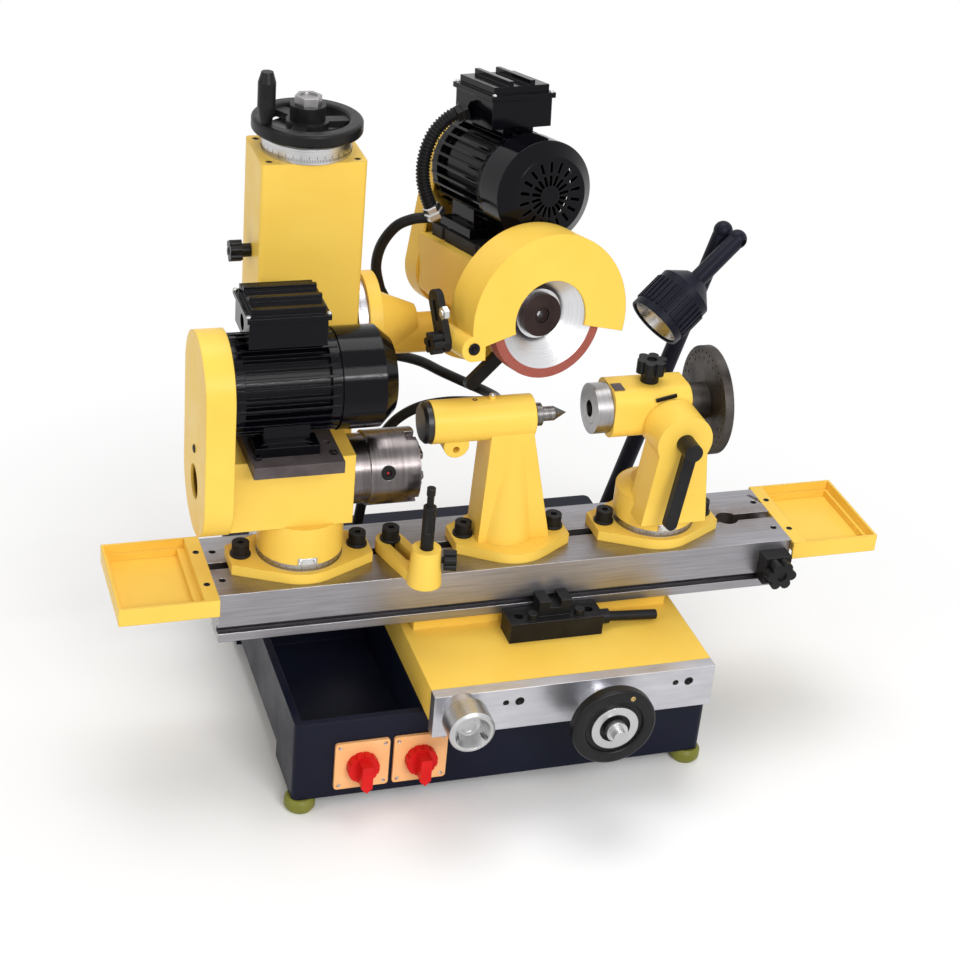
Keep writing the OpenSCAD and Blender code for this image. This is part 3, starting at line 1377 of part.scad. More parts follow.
module head_back_at() { head_at() translate([0, body_y0 + body_l, 0]) rotate([90, 0, 180])
    rotate(motor_lean) children(); }
module head_belt_cover() color([0.98, 0.80, 0.26]) head_back_at() difference() {
    translate([0, 0, hguard_t]) mirror([0, 0, 1]) belt_guard_shell(hguard_r, hguard_t, guard_wall,
        motor_rise);
    translate([0, -hguard_r * 4 / 5, hguard_t - 2 * guard_wall]) rod(tap_d, 3 * guard_wall);
}
module wheel_spindle() color([0.62, 0.62, 0.64]) head_at() {
    wheel_flange();
    to_f([0, body_y0 + body_l + hguard_t * 3 / 4, 0]) rod(wheel_shaft_d * 3 / 4, hguard_t);
    to_f([0, body_y0 + body_l - slide, 0]) rod(wheel_shaft_d, body_y0 + body_l - wheel_y - slide);
    to_f([0, body_y0 + body_l + hguard_t * 3 / 4, 0]) difference() {
        rod(wm_r * pulley_share, hguard_t / 2);
        translate([0, 0, hguard_t / 8]) tube(wm_r, wm_r * pulley_share - hguard_t / 8, hguard_t / 4);
    }
}
module cup_profile() {
    polygon([[0, 0], [cupw_back / 2, 0], [cupw_d / 2, cupw_l / 2], [cupw_d / 2, cupw_l],
        [cupw_d / 2 - rim_w, cupw_l],
        [cone_in / 2, cupw_l - cone_deep], [0, cupw_l - cone_deep]]);
}
module cup_wheel() color([0.82, 0.82, 0.83]) head_at() to_f([0, wheel_y, 0])
    rotate_extrude($fn = round_fn) cup_profile();
module wheel_flange() to_f([0, wheel_y - cupw_l + cone_deep, 0]) difference() {
    rod(flange_d, flange_l);
    translate([0, 0, flange_l / 2]) rod(cap_d, flange_l);
    translate([0, 0, -over]) cylinder(d = cap_hex, h = flange_l, $fn = 6);
}
module guard_fan(r, k) { polygon([[0, 0], [r * 2 * cos(k), -r * 2 * sin(k)], [r * 2, -r * 3],
    [-r * 2, -r * 3], [-r * 2 * cos(k), -r * 2 * sin(k)]]); }
module wheel_guard() color([0.98, 0.80, 0.26]) head_at() to_f([0, wg_y + wg_l, 0]) {
    difference() {
        union() {
            rod(2 * wg_r, wg_l);
            translate([ear_x, ear_z, 0]) rod(ear_d, wg_l);
            translate([ear_x, ear_z - ear_d / 2, 0]) cube([ear_d, ear_d, wg_l]);
        }
        translate([0, 0, wg_t]) rod(2 * wg_r - 2 * wg_t, wg_l - 2 * wg_t);
        translate([0, 0, -over]) linear_extrude(wg_l + 2 * over) difference() {
            guard_fan(wg_r, guard_dip);
            translate([ear_x, ear_z]) circle(d = ear_d, $fn = round_fn);
            translate([ear_x, ear_z - ear_d / 2]) square([ear_d / 2, ear_d]);
        }
        translate([0, 0, -over]) rod(nose_d + 2 * run, wg_t + 2 * over);
        translate([0, 0, wg_l - wg_t - over]) rod(2 * wg_hole, wg_t + 2 * over);
        translate([ear_x, ear_z, wg_l / 2]) rod(stud_d + 2 * run, wg_l);
        translate([ear_x, ear_z, wg_l / 3]) rotate([0, -90, 0]) rod(stud_d + 2 * run, ear_d);
    }
}
module guard_strap() color([0.07, 0.07, 0.08]) head_at() to_f([0, wg_y + wg_l, 0])
    translate([ear_x - ear_d / 2, ear_z, wg_l / 3])
    rotate([0, -90, 0]) rotate(strap_turn) difference() {
        linear_extrude(strap_t) {
            circle(d = strap_w, $fn = round_fn);
            translate([0, -strap_w / 2]) square([strap_w * 2, strap_w]);
            translate([strap_w * 2, 0]) circle(d = strap_w, $fn = round_fn);
        }
        translate([0, 0, -over]) rod(stud_d + 2 * run, strap_t + 2 * over);
        translate([strap_w, -stud_d / 2, -over]) cube([strap_w, stud_d, strap_t + 2 * over]);
    }
module guard_knob() color([0.05, 0.05, 0.06]) head_at() to_f([0, wg_y + wg_l, 0])
    translate([ear_x - ear_d / 2, ear_z, wg_l / 3]) rotate([0, -90, 0]) {
    translate([0, 0, strap_t + slide]) star(star_d, star_h);
    translate([0, 0, -ear_d / 3]) rod(stud_d, strap_t + ear_d / 3 + over);
}

// Lamp: a post that turns and a shade on an elbow
module aim(v) { rotate([0, acos(v[2]), atan2(v[1], v[0])]) children(); }
module lamp_foot() translate([lamp_x, lamp_y, base_top]) difference() {
    cylinder(d1 = lamp_foot_d, d2 = lamp_foot_d * 3 / 4, h = lamp_foot_h, $fn = round_fn);
    translate([0, 0, lamp_foot_h / 4]) rod(lamp_tube_d / 2 + 2 * run, lamp_foot_h);
}
module lamp_arm() color([0.07, 0.07, 0.09]) {
    side = hinge_to * (lamp_tube_d / 2 + slide);
    low = foot_at + [0, 0, lamp_foot_h + lamp_tube_d / 2 + slide];
    span = elbow_at + side - low;
    translate(low) sphere(d = lamp_tube_d, $fn = round_fn);
    translate([lamp_x, lamp_y, base_top + lamp_foot_h / 4 + slide]) rod(lamp_tube_d / 2,
        lamp_foot_h * 3 / 4 + lamp_tube_d / 2);
    translate(low) aim(span / norm(span)) rod(lamp_tube_d - way_gap, norm(span));
    translate(elbow_at + side) sphere(d = lamp_tube_d, $fn = round_fn);
    translate(elbow_at + side) aim(-hinge_to) rod(stud_d, lamp_tube_d * 5 / 4);
}
module lamp_shade() color([0.08, 0.08, 0.10]) difference() {
    union() {
        translate(elbow_at - hinge_to * (lamp_tube_d / 2 + slide)) {
            sphere(d = lamp_tube_d, $fn = round_fn);
            aim(neck_to) rod(lamp_tube_d - way_gap, shade_neck + shade_l / 4);
            aim(neck_to) translate([0, 0, shade_neck]) shade_shell();
        }
    }
    translate(elbow_at + hinge_to * lamp_tube_d) aim(-hinge_to) rod(stud_d + 2 * run,
        lamp_tube_d * 9 / 4);
}
module shade_shell() {
    difference() {
        rotate_extrude($fn = round_fn) polygon([[0, 0], [shade_d / 4, 0], [shade_d / 2,
            shade_l / 4], [shade_d / 2, shade_l],
            [shade_d / 2 - shade_wall, shade_l], [shade_d / 2 - 2 * shade_wall, shade_l / 2], [0,
                shade_l / 2]]);
        for (a = [0:12:348]) rotate(a) translate([shade_d / 2, -shade_wall / 4, shade_l * 3 / 8])
            cube([shade_wall, shade_wall / 2, shade_l / 2], center = false);
    }
}

// Hoses: a tube swept along a smooth line through the route's points
function route_point(p, i) = p[max(0, min(len(p) - 1, i))];
function curve(p, i, t) = let (a = route_point(p, i - 1), b = route_point(p, i), c = route_point(p,
    i + 1), d = route_point(p, i + 2))
    b + t / 2 * (c - a) + t * t / 2 * (2 * a - 5 * b + 4 * c - d) +
        t * t * t / 2 * (3 * b - a - 3 * c + d);
function line(p, n) = [for (k = [0:n]) let (s = k * (len(p) - 1) / n, i = min(len(p) - 2,
    floor(s))) curve(p, i, s - i)];
function unit(v) = v / norm(v);
function rings(c, r, s) = [for (k = [0:len(c) - 1])
    let (t = unit(c[min(len(c) - 1, k + 1)] - c[max(0, k - 1)]), u = unit(cross(t, hose_side)),
        v = cross(t, u))
    for (j = [0:s - 1]) c[k] + (is_list(r) ? r[k % 2] : r) * (cos(j * 360 / s) * u +
        sin(j * 360 / s) * v)];
function wall_faces(n, s, o, flip) = [for (i = [0:n - 2], j = [0:s - 1], h = [0, 1])
    let (a = o + i * s + j, b = o + i * s + (j + 1) % s, f = h == 0 ? [a, b, b + s] : [a, b + s,
        a + s]) flip ? [f[0], f[2], f[1]] : f];
function end_faces(s, o, q, flip) = [for (j = [0:s - 1], h = [0, 1]) let (k = (j + 1) % s,
    f = h == 0 ? [o + j, q + j, q + k] : [o + j, q + k, o + k]) flip ? [f[0], f[2], f[1]] : f];
module hose(p, n, r, bore, s) {
    c = line(p, n);
    m = (n + 1) * s;
    polyhedron(concat(rings(c, r, s), rings(c, bore, s)), concat(wall_faces(n + 1, s, 0, true),
        wall_faces(n + 1, s, m, false),
        end_faces(s, 0, m, true), end_faces(s, m - s, 2 * m - s, false)), convexity = 8);
}
module head_conduit() color([0.04, 0.04, 0.05]) {
    hose(hose_route, 28, hose_d / 2, hose_d * bore_share / 2, 10);
    hose(conduit_route, 160, [conduit_d / 2, conduit_d * rib_share / 2], conduit_d * bore_share / 2, 8);
}
module supply_hose() color([0.04, 0.04, 0.05]) hose(supply_route, 48, hose_d / 2,
    hose_d * bore_share / 2, 10);

base_casting();
rubber_feet();
switch_plates();
switch_knob_left();
switch_knob_right();
column_post();
saddle_casting();
saddle_front_plate();
cross_handwheel();
cross_screw();
traverse_cup();
table_lock();
lock_lever();
table_slab();
table_trays();
end_stop();
end_stop_knob();
unit_bases();
hold_down_screws();
headstock_box();
headstock_motor_plate();
headstock_motor();
headstock_belt_guard();
chuck_body();
chuck_jaw_1();
chuck_jaw_2();
chuck_jaw_3();
tooth_rest_arm();
tooth_rest_post();
tooth_rest_knob();
tailstock_body();
tailstock_quill();
workhead_post();
workhead_body();
workhead_spindle();
index_plate();
workhead_lever();
workhead_knob();
column_sleeve();
lift_collar();
lift_handwheel();
lift_screw();
crank_handle();
column_lock_knob();
arm_scale_ring();
swing_arm();
arm_lever();
head_housing();
head_motor_plate();
head_motor();
head_belt_cover();
wheel_spindle();
cup_wheel();
wheel_guard();
guard_strap();
guard_knob();
lamp_arm();
lamp_shade();
head_conduit();
supply_hose();
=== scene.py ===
import math
import bpy
from mathutils import Matrix, Vector


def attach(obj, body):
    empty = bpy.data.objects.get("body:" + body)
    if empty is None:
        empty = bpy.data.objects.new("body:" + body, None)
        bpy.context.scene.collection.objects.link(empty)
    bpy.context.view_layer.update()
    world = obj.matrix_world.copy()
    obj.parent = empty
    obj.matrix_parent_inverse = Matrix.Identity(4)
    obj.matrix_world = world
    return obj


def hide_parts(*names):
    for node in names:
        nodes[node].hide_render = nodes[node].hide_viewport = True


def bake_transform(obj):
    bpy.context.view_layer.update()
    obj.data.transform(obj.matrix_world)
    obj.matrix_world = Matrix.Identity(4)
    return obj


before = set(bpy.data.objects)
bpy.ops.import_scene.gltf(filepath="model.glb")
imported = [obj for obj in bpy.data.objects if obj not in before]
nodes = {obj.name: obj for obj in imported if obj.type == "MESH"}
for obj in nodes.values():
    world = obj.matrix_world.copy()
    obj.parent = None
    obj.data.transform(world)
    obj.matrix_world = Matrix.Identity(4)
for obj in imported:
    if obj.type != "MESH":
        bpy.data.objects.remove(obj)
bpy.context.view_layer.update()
scene = bpy.context.scene
scene.view_settings.view_transform = "Standard"
MM = 0.001
TABLE_Y = -68.5  # the table's centre line, in millimetres
SEAM = 0.0002  # half the width of a colour seam, in metres
GRAIN = 0.0002  # the depth of a finish's grain, in metres

# Frames of the swung pieces, in the machine's frame
ARM = Matrix.Translation((0, 0.106, 0.466)) @ Matrix.Rotation(math.radians(-8), 4, "X")
HEAD = (ARM @ Matrix.Translation((0.033, 0, 0.0043)) @ Matrix.Rotation(math.radians(11), 4, "Z")
        @ Matrix.Translation((0, 0, 0.034)))


# Camera, at the photograph's angle
def place_camera():
    data = bpy.data.cameras.new("camera")
    data.sensor_width = 36
    data.lens = 75.96
    data.clip_end = 20
    camera = bpy.data.objects.new("camera", data)
    scene.collection.objects.link(camera)
    right = Vector((0.9511278, -0.2973298, 0.0833722))
    up = Vector((0.0804092, 0.4991468, 0.8627786))
    back = Vector((-0.2981447, -0.8139088, 0.4986604))
    turn = Matrix((right, up, back)).transposed().to_4x4()
    camera.matrix_world = Matrix.Translation((-0.70731, -1.97607, 1.50409)) @ turn
    scene.camera = camera


place_camera()


# Shared shader groups
def shader_group(name, inputs, outputs):
    tree = bpy.data.node_groups.new(name, "ShaderNodeTree")
    for label, kind, value in inputs:
        socket = tree.interface.new_socket(label, in_out="INPUT", socket_type=kind)
        socket.default_value = value
    for label, kind in outputs:
        tree.interface.new_socket(label, in_out="OUTPUT", socket_type=kind)
    return tree, tree.nodes.new("NodeGroupInput"), tree.nodes.new("NodeGroupOutput")


def add_node(tree, kind, settings=None, values=None):
    made = tree.nodes.new(kind)
    for key, value in (settings or {}).items():
        setattr(made, key, value)
    for key, value in (values or {}).items():
        made.inputs[key].default_value = value
    return made


def join(tree, source, target):
    tree.links.new(source, target)


def make_edge_group():
    tree, given, out = shader_group("worn_and_shaded_edge", [("Radius", "NodeSocketFloat", 0.001)],
                                    [("Edge", "NodeSocketFloat"), ("Normal", "NodeSocketVector")])
    bevel = add_node(tree, "ShaderNodeBevel", {"samples": 4})
    join(tree, given.outputs["Radius"], bevel.inputs["Radius"])
    geometry = add_node(tree, "ShaderNodeNewGeometry")
    dot = add_node(tree, "ShaderNodeVectorMath", {"operation": "DOT_PRODUCT"})
    join(tree, bevel.outputs["Normal"], dot.inputs[0])
    join(tree, geometry.outputs["Normal"], dot.inputs[1])
    spread = add_node(tree, "ShaderNodeMapRange", values={"From Min": 0.995, "From Max": 0.8})
    join(tree, dot.outputs["Value"], spread.inputs["Value"])
    join(tree, spread.outputs["Result"], out.inputs["Edge"])
    join(tree, bevel.outputs["Normal"], out.inputs["Normal"])
    return tree


def make_patch_group():
    inputs = [("Size", "NodeSocketFloat", 10.0), ("Stretch", "NodeSocketVector", (1, 1, 1))]
    tree, given, out = shader_group("patches", inputs, [("Value", "NodeSocketFloat")])
    place = add_node(tree, "ShaderNodeTexCoord")
    stretch = add_node(tree, "ShaderNodeVectorMath", {"operation": "MULTIPLY"})
    join(tree, place.outputs["Object"], stretch.inputs[0])
    join(tree, given.outputs["Stretch"], stretch.inputs[1])
    noise = add_node(tree, "ShaderNodeTexNoise", values={"Detail": 4.0, "Roughness": 0.55})
    join(tree, stretch.outputs["Vector"], noise.inputs["Vector"])
    join(tree, given.outputs["Size"], noise.inputs["Scale"])
    spread = add_node(tree, "ShaderNodeMapRange", values={"From Min": 0.3, "From Max": 0.7})
    join(tree, noise.outputs["Fac"], spread.inputs["Value"])
    join(tree, spread.outputs["Result"], out.inputs["Value"])
    return tree


EDGE = make_edge_group()
PATCH = make_patch_group()


class Finish:
    """One procedural material, built up from patches, edges and bump."""

    def __init__(self, name, rough=0.4, metal=0.0, gloss=0.5):
        self.material = bpy.data.materials.new(name)
        self.material.use_nodes = True
        self.tree = self.material.node_tree
        self.shader = self.tree.nodes["Principled BSDF"]
        self.shader.inputs["Roughness"].default_value = rough
        self.shader.inputs["Metallic"].default_value = metal
        self.shader.inputs["Specular IOR Level"].default_value = gloss

    def group(self, tree, values):
        made = add_node(self.tree, "ShaderNodeGroup", {"node_tree": tree})
        for key, value in values.items():
            made.inputs[key].default_value = value
        return made

    def patches(self, size, stretch=(1, 1, 1)):
        return self.group(PATCH, {"Size": size, "Stretch": stretch}).outputs["Value"]

    def edges(self, radius):
        return self.group(EDGE, {"Radius": radius})

    def scale(self, value, low, high):
        made = add_node(self.tree, "ShaderNodeMapRange", values={"To Min": low, "To Max": high})
        join(self.tree, value, made.inputs["Value"])
        return made.outputs["Result"]

    def step(self, value, at, width):
        ends = {"From Min": at - width, "From Max": at + width}
        made = add_node(self.tree, "ShaderNodeMapRange", values=ends)
        join(self.tree, value, made.inputs["Value"])
        return made.outputs["Result"]

    def math(self, operation, a, b):
        made = add_node(self.tree, "ShaderNodeMath", {"operation": operation})
        for socket, value in zip(made.inputs, (a, b)):
            if isinstance(value, (int, float)):
                socket.default_value = value
            else:
                join(self.tree, value, socket)
        return made.outputs["Value"]

    def reach(self, a, b):
        """The length of the two values taken as sides of a right angle."""
        squares = [self.math("MULTIPLY", side, side) for side in (a, b)]
        return self.math("SQRT", self.math("ADD", *squares), 0)

    def mix(self, fac, a, b):
        made = add_node(self.tree, "ShaderNodeMix", {"data_type": "RGBA"})
        for socket, value in ((made.inputs["Factor"], fac), (made.inputs[6], a), (made.inputs[7], b)):
            if isinstance(value, (int, float)):
                socket.default_value = value
            elif isinstance(value, tuple):
                socket.default_value = (*value, 1)
            else:
                join(self.tree, value, socket)
        return made.outputs[2]

    def place(self, origin=(0, 0, 0), turn=(0, 0, 0)):
        source = add_node(self.tree, "ShaderNodeTexCoord")
        frame_of = add_node(self.tree, "ShaderNodeMapping", {"vector_type": "TEXTURE"},
                            {"Location": origin, "Rotation": turn})
        join(self.tree, source.outputs["Object"], frame_of.inputs["Vector"])
        split = add_node(self.tree, "ShaderNodeSeparateXYZ")
        join(self.tree, frame_of.outputs["Vector"], split.inputs["Vector"])
        return split.outputs

    def set(self, socket, value):
        join(self.tree, value, self.shader.inputs[socket])
        return self

    def bump(self, height, distance, edge=None, strength=0.5):
        made = add_node(self.tree, "ShaderNodeBump", values={"Strength": strength, "Distance": distance})
        join(self.tree, height, made.inputs["Height"])
        if edge is not None:
            join(self.tree, edge.outputs["Normal"], made.inputs["Normal"])
        return self.set("Normal", made.outputs["Normal"])


YELLOW = (0.95, 0.645, 0.112)
YELLOW_DEEP = (0.91, 0.58, 0.085)
# The yellow castings' edge colour, a darker brown: painted shade along the edges
YELLOW_EDGE_SHADE = (0.76, 0.45, 0.075)
STEEL = (0.46, 0.45, 0.455)
STEEL_DARK = (0.28, 0.27, 0.27)
# Where one finish gives way to another on the same piece, in metres
RING_FOOT_Z = 0.2642
RIM_DEPTH = 0.0195
RIM_INNER_R = 0.0588
QUILL_KNOB_X = -0.0762


def enamel_parts(finish, light, deep, edge_wear_and_shade, radius=0.0016):
    edge = finish.edges(radius)
    tone = finish.mix(finish.patches(9), light, deep)
    # Edges take the edge colour in random patches: real wear on the dark enamels, painted shade along the
    # edges on the yellow enamel
    edge_wear_and_shade_mask = finish.math("MULTIPLY", edge.outputs["Edge"], finish.scale(finish.patches(60), 0.1, 0.6))
    colour = finish.mix(edge_wear_and_shade_mask, tone, edge_wear_and_shade)
    return edge, colour


def yellow_enamel():
    finish = Finish("yellow_enamel", gloss=0.18)
    edge, colour = enamel_parts(finish, YELLOW, YELLOW_DEEP, YELLOW_EDGE_SHADE)
    finish.set("Base Color", colour)
    finish.set("Roughness", finish.scale(finish.patches(25), 0.30, 0.42))
    return finish.bump(finish.patches(420), GRAIN, edge, 0.12).material


def ringed_enamel():
    """Yellow flange with the ground steel scale ring above it."""
    finish = Finish("ringed_enamel", gloss=0.18)
    edge, colour = enamel_parts(finish, YELLOW, YELLOW_DEEP, YELLOW_EDGE_SHADE)
    ring = finish.step(finish.place()["Z"], RING_FOOT_Z, SEAM)
    steel = finish.mix(finish.patches(90, (1, 1, 8)), STEEL, STEEL_DARK)
    finish.set("Base Color", finish.mix(ring, colour, steel))
    finish.set("Metallic", ring)
    finish.set("Roughness", finish.scale(finish.patches(30), 0.32, 0.42))
    return finish.bump(finish.patches(420), GRAIN, edge, 0.12).material


def dark_enamel(name, colour, lighter, edge_wear_and_shade, rough, gloss, spread=0.12):
    finish = Finish(name, gloss=gloss)
    edge, mixed = enamel_parts(finish, colour, lighter, edge_wear_and_shade, 0.0014)
    finish.set("Base Color", mixed)
    finish.set("Roughness", finish.scale(finish.patches(22), rough, rough + spread))
    return finish.bump(finish.patches(500), GRAIN, edge, 0.15).material


def ground_steel(name, light, dark, stretch, rough, stain=None):
    """Steel with grinding or turning lines, and stains by the T slot where asked for."""
    finish = Finish(name, metal=1.0)
    edge = finish.edges(0.0012)
    lines = finish.patches(14, stretch)
    tone = finish.mix(lines, light, dark)
    tone = finish.mix(finish.scale(finish.patches(11), 0.0, 0.45), tone, dark)
    if stain:
        y = finish.place()["Y"]
        off = finish.math("ABSOLUTE", finish.math("ADD", y, -TABLE_Y * MM), 0)
        near = finish.math("SUBTRACT", 1.0, finish.step(off, 0.024, 0.018))
        blot = finish.math("MULTIPLY", near, finish.scale(finish.patches(26), 0.0, 0.8))
        tone = finish.mix(blot, tone, stain)
    tone = finish.mix(finish.scale(edge.outputs["Edge"], 0.0, 0.5), tone, (0.62, 0.61, 0.6))
    finish.set("Base Color", tone)
    finish.set("Roughness", finish.scale(finish.patches(18), rough, rough + 0.16))
    return finish.bump(lines, GRAIN, edge, 0.1).material


def black_oxide(name, dark, light, rough, metal=0.5):
    finish = Finish(name, metal=metal, gloss=0.2)
    edge = finish.edges(0.001)
    tone = finish.mix(finish.patches(40), dark, light)
    tone = finish.mix(finish.scale(edge.outputs["Edge"], 0.0, 0.35), tone, (0.2, 0.19, 0.19))
    finish.set("Base Color", tone)
    finish.set("Roughness", finish.scale(finish.patches(55), rough, rough + 0.15))
    return finish.bump(finish.patches(700), GRAIN, edge, 0.2).material


def moulded(name, colour, lighter, rough, gloss=0.2, grain=900):
    finish = Finish(name, gloss=gloss)
    edge = finish.edges(0.0012)
    tone = finish.mix(finish.patches(35), colour, lighter)
    finish.set("Base Color", finish.mix(finish.scale(edge.outputs["Edge"], 0, 0.25), tone, lighter))
    finish.set("Roughness", finish.scale(finish.patches(70), rough, rough + 0.12))
    return finish.bump(finish.patches(grain), GRAIN, edge, 0.2).material


def cup_wheel_finish():
    """Turned aluminium cup with a red-brown abrasive rim, told apart in the wheel's own frame."""
    finish = Finish("cup_wheel_finish")
    at = HEAD @ Vector((0, -0.122, 0))
    spot = finish.place(tuple(at), tuple(HEAD.to_euler()))
    radius = finish.reach(spot["X"], spot["Z"])
    front = finish.step(finish.math("MULTIPLY", spot["Y"], -1), RIM_DEPTH, SEAM)
    rim = finish.math("MULTIPLY", front, finish.step(radius, RIM_INNER_R, SEAM))
    rings = add_node(finish.tree, "ShaderNodeTexNoise", {"noise_dimensions": "1D"},
                     {"Scale": 900.0, "Detail": 3.0})
    join(finish.tree, radius, rings.inputs["W"])
    turned = finish.mix(rings.outputs["Fac"], (0.60, 0.60, 0.62), (0.80, 0.80, 0.82))
    grit = finish.mix(finish.patches(900), (0.26, 0.055, 0.04), (0.40, 0.11, 0.08))
    finish.set("Base Color", finish.mix(rim, turned, grit))
    finish.set("Metallic", finish.math("SUBTRACT", 1.0, rim))
    finish.set("Roughness", finish.scale(rim, 0.26, 0.85))
    edge = finish.edges(0.0008)
    return finish.bump(finish.patches(900), 0.0003, edge, 0.25).material


def quill_finish():
    """Dark ground quill, with the black knob on its left end."""
    finish = Finish("quill_finish", rough=0.35)
    edge = finish.edges(0.001)
    knob = finish.math("SUBTRACT", 1.0, finish.step(finish.place()["X"], QUILL_KNOB_X, SEAM))
    lines = finish.patches(16, (40, 1, 1))
    tone = finish.mix(lines, (0.10, 0.095, 0.095), (0.26, 0.25, 0.25))
    finish.set("Base Color", finish.mix(knob, tone, (0.008, 0.008, 0.009)))
    finish.set("Metallic", finish.math("SUBTRACT", 1.0, knob))
    return finish.bump(lines, GRAIN, edge, 0.15).material


FINISHES = {
    "yellow": yellow_enamel(),
    "ringed": ringed_enamel(),
    "base": dark_enamel("base_enamel", (0.006, 0.007, 0.017), (0.008, 0.010, 0.022), (0.03, 0.03, 0.036),
                        0.30, 0.11),
    "motor": dark_enamel("motor_enamel", (0.0018, 0.0018, 0.0032), (0.0026, 0.0026, 0.005),
                         (0.02, 0.02, 0.024), 0.04, 0.14, 0.05),
    "lamp": dark_enamel("lamp_enamel", (0.006, 0.007, 0.014), (0.009, 0.010, 0.020), (0.03, 0.03, 0.04),
                        0.34, 0.12),
    "table": ground_steel("table_steel", (0.40, 0.39, 0.42), (0.29, 0.28, 0.295), (1, 30, 30), 0.30,
                          (0.17, 0.11, 0.07)),
    "steel": ground_steel("plate_steel", (0.64, 0.64, 0.68), (0.48, 0.48, 0.51), (1, 6, 6), 0.3),
    "turned": ground_steel("turned_steel", (0.42, 0.41, 0.42), (0.30, 0.29, 0.29), (30, 1, 1), 0.24),
    "chuck": ground_steel("chuck_steel", (0.20, 0.18, 0.18), (0.11, 0.095, 0.095), (18, 1, 1), 0.2),
    "feed": ground_steel("feed_steel", (0.62, 0.62, 0.63), (0.46, 0.46, 0.46), (1, 30, 1), 0.25),
    "collar": ground_steel("collar_aluminium", (0.72, 0.72, 0.73), (0.5, 0.5, 0.5), (1, 1, 30), 0.26),
    "index": black_oxide("index_plate_steel", (0.035, 0.03, 0.028), (0.09, 0.08, 0.072), 0.38, 0.8),
    "oxide": black_oxide("black_oxide", (0.012, 0.012, 0.012), (0.022, 0.021, 0.021), 0.4),
    "brown": black_oxide("brown_plate", (0.075, 0.06, 0.06), (0.12, 0.10, 0.10), 0.42, 0.3),
    "flange": black_oxide("flange_brown", (0.022, 0.012, 0.011), (0.04, 0.024, 0.022), 0.36, 0.4),
    "plastic": moulded("black_plastic", (0.006, 0.006, 0.007), (0.012, 0.012, 0.013), 0.3),
    "red": moulded("red_plastic", (0.58, 0.004, 0.005), (0.70, 0.012, 0.010), 0.28, 0.15),
    "orange": moulded("orange_plate", (0.93, 0.46, 0.18), (0.95, 0.52, 0.23), 0.4, 0.2, 300),
    "rubber": moulded("olive_rubber", (0.16, 0.16, 0.018), (0.21, 0.21, 0.03), 0.4, 0.3),
    "hose": moulded("hose_rubber", (0.005, 0.005, 0.006), (0.011, 0.011, 0.012), 0.38),
    "cup_wheel": cup_wheel_finish(),
    "quill": quill_finish(),
    "screw": black_oxide("screw_black", (0.008, 0.008, 0.008), (0.016, 0.015, 0.015), 0.35, 0.6),
    "bright": ground_steel("bright_steel", (0.74, 0.74, 0.75), (0.58, 0.58, 0.58), (4, 4, 4), 0.2),
    "brass": ground_steel("oiler_brass", (0.70, 0.48, 0.16), (0.52, 0.34, 0.10), (4, 4, 4), 0.26),
    "ink": moulded("scale_ink", (0.012, 0.012, 0.013), (0.022, 0.022, 0.022), 0.6),
    "dot": moulded("red_dot", (0.55, 0.01, 0.02), (0.65, 0.03, 0.03), 0.4),
    "bulb": moulded("bulb_glass", (0.82, 0.82, 0.80), (0.9, 0.9, 0.88), 0.12, 0.5),
}
WEARS = {
    "yellow": """saddle_casting table_trays headstock_box headstock_belt_guard tooth_rest_arm tailstock_body
        workhead_post workhead_body column_sleeve swing_arm head_housing head_belt_cover wheel_guard""",
    "ringed": "unit_bases",
    "base": "base_casting",
    "motor": "headstock_motor head_motor",
    "lamp": "lamp_arm lamp_shade",
    "table": "table_slab",
    "steel": "saddle_front_plate column_post arm_scale_ring",
    "turned": "workhead_spindle lift_screw",
    "chuck": "chuck_body chuck_jaw_1 chuck_jaw_2 chuck_jaw_3",
    "feed": "cross_screw traverse_cup",
    "collar": "lift_collar",
    "index": "index_plate",
    "oxide": "table_lock end_stop hold_down_screws tooth_rest_post guard_strap head_motor_plate",
    "brown": "headstock_motor_plate",
    "flange": "wheel_spindle",
    "plastic": """cross_handwheel lock_lever end_stop_knob tooth_rest_knob workhead_lever workhead_knob
        lift_handwheel crank_handle column_lock_knob arm_lever guard_knob""",
    "red": "switch_knob_left switch_knob_right",
    "orange": "switch_plates",
    "rubber": "rubber_feet",
    "hose": "head_conduit supply_hose",
    "cup_wheel": "cup_wheel",
    "quill": "tailstock_quill",
}


def dress(thing, finish):
    thing.data.materials.clear()
    thing.data.materials.append(FINISHES[finish])


for finish_name, worn_by in WEARS.items():
    for node_name in worn_by.split():
        dress(nodes[node_name], finish_name)


# Cords: hoses that follow the routes of the solids
RIB_SHARE = 0.82


def smooth_line(points, steps):
    """The curve through the points that the solids follow, in metres."""
    line = []
    last = len(points) - 1
    for k in range(steps + 1):
        s = k * last / steps
        i = min(last - 1, int(s))
        t = s - i
        a, b, c, d = (Vector(points[max(0, min(last, i + j))]) * MM for j in (-1, 0, 1, 2))
        line.append(b + t / 2 * (c - a) + t * t / 2 * (2 * a - 5 * b + 4 * c - d)
                    + t * t * t / 2 * (3 * b - a - 3 * c + d))
    return line


def select(*things):
    bpy.ops.object.select_all(action="DESELECT")
    for thing in things:
        thing.select_set(True)
    bpy.context.view_layer.objects.active = things[0]


def hose_tube(name, line, diameter, ribs=False):
    data = bpy.data.curves.new(name, "CURVE")
    data.dimensions = "3D"
    data.bevel_depth = diameter / 2
    data.bevel_resolution = 5
    data.use_fill_caps = True
    spline = data.splines.new("POLY")
    spline.points.add(len(line) - 1)
    for k, (point, spot) in enumerate(zip(spline.points, line)):
        point.co = (*spot, 1)
        point.radius = 1 if not ribs or k % 4 < 2 else RIB_SHARE
    tube = bpy.data.objects.new(name, data)
    scene.collection.objects.link(tube)
    select(tube)
    bpy.ops.object.convert(target="MESH")
    tube = bpy.context.object
    bpy.ops.object.shade_smooth_by_angle(angle=math.radians(40))
    return tube


def run_length(line):
    return sum((b - a).length for a, b in zip(line, line[1:]))


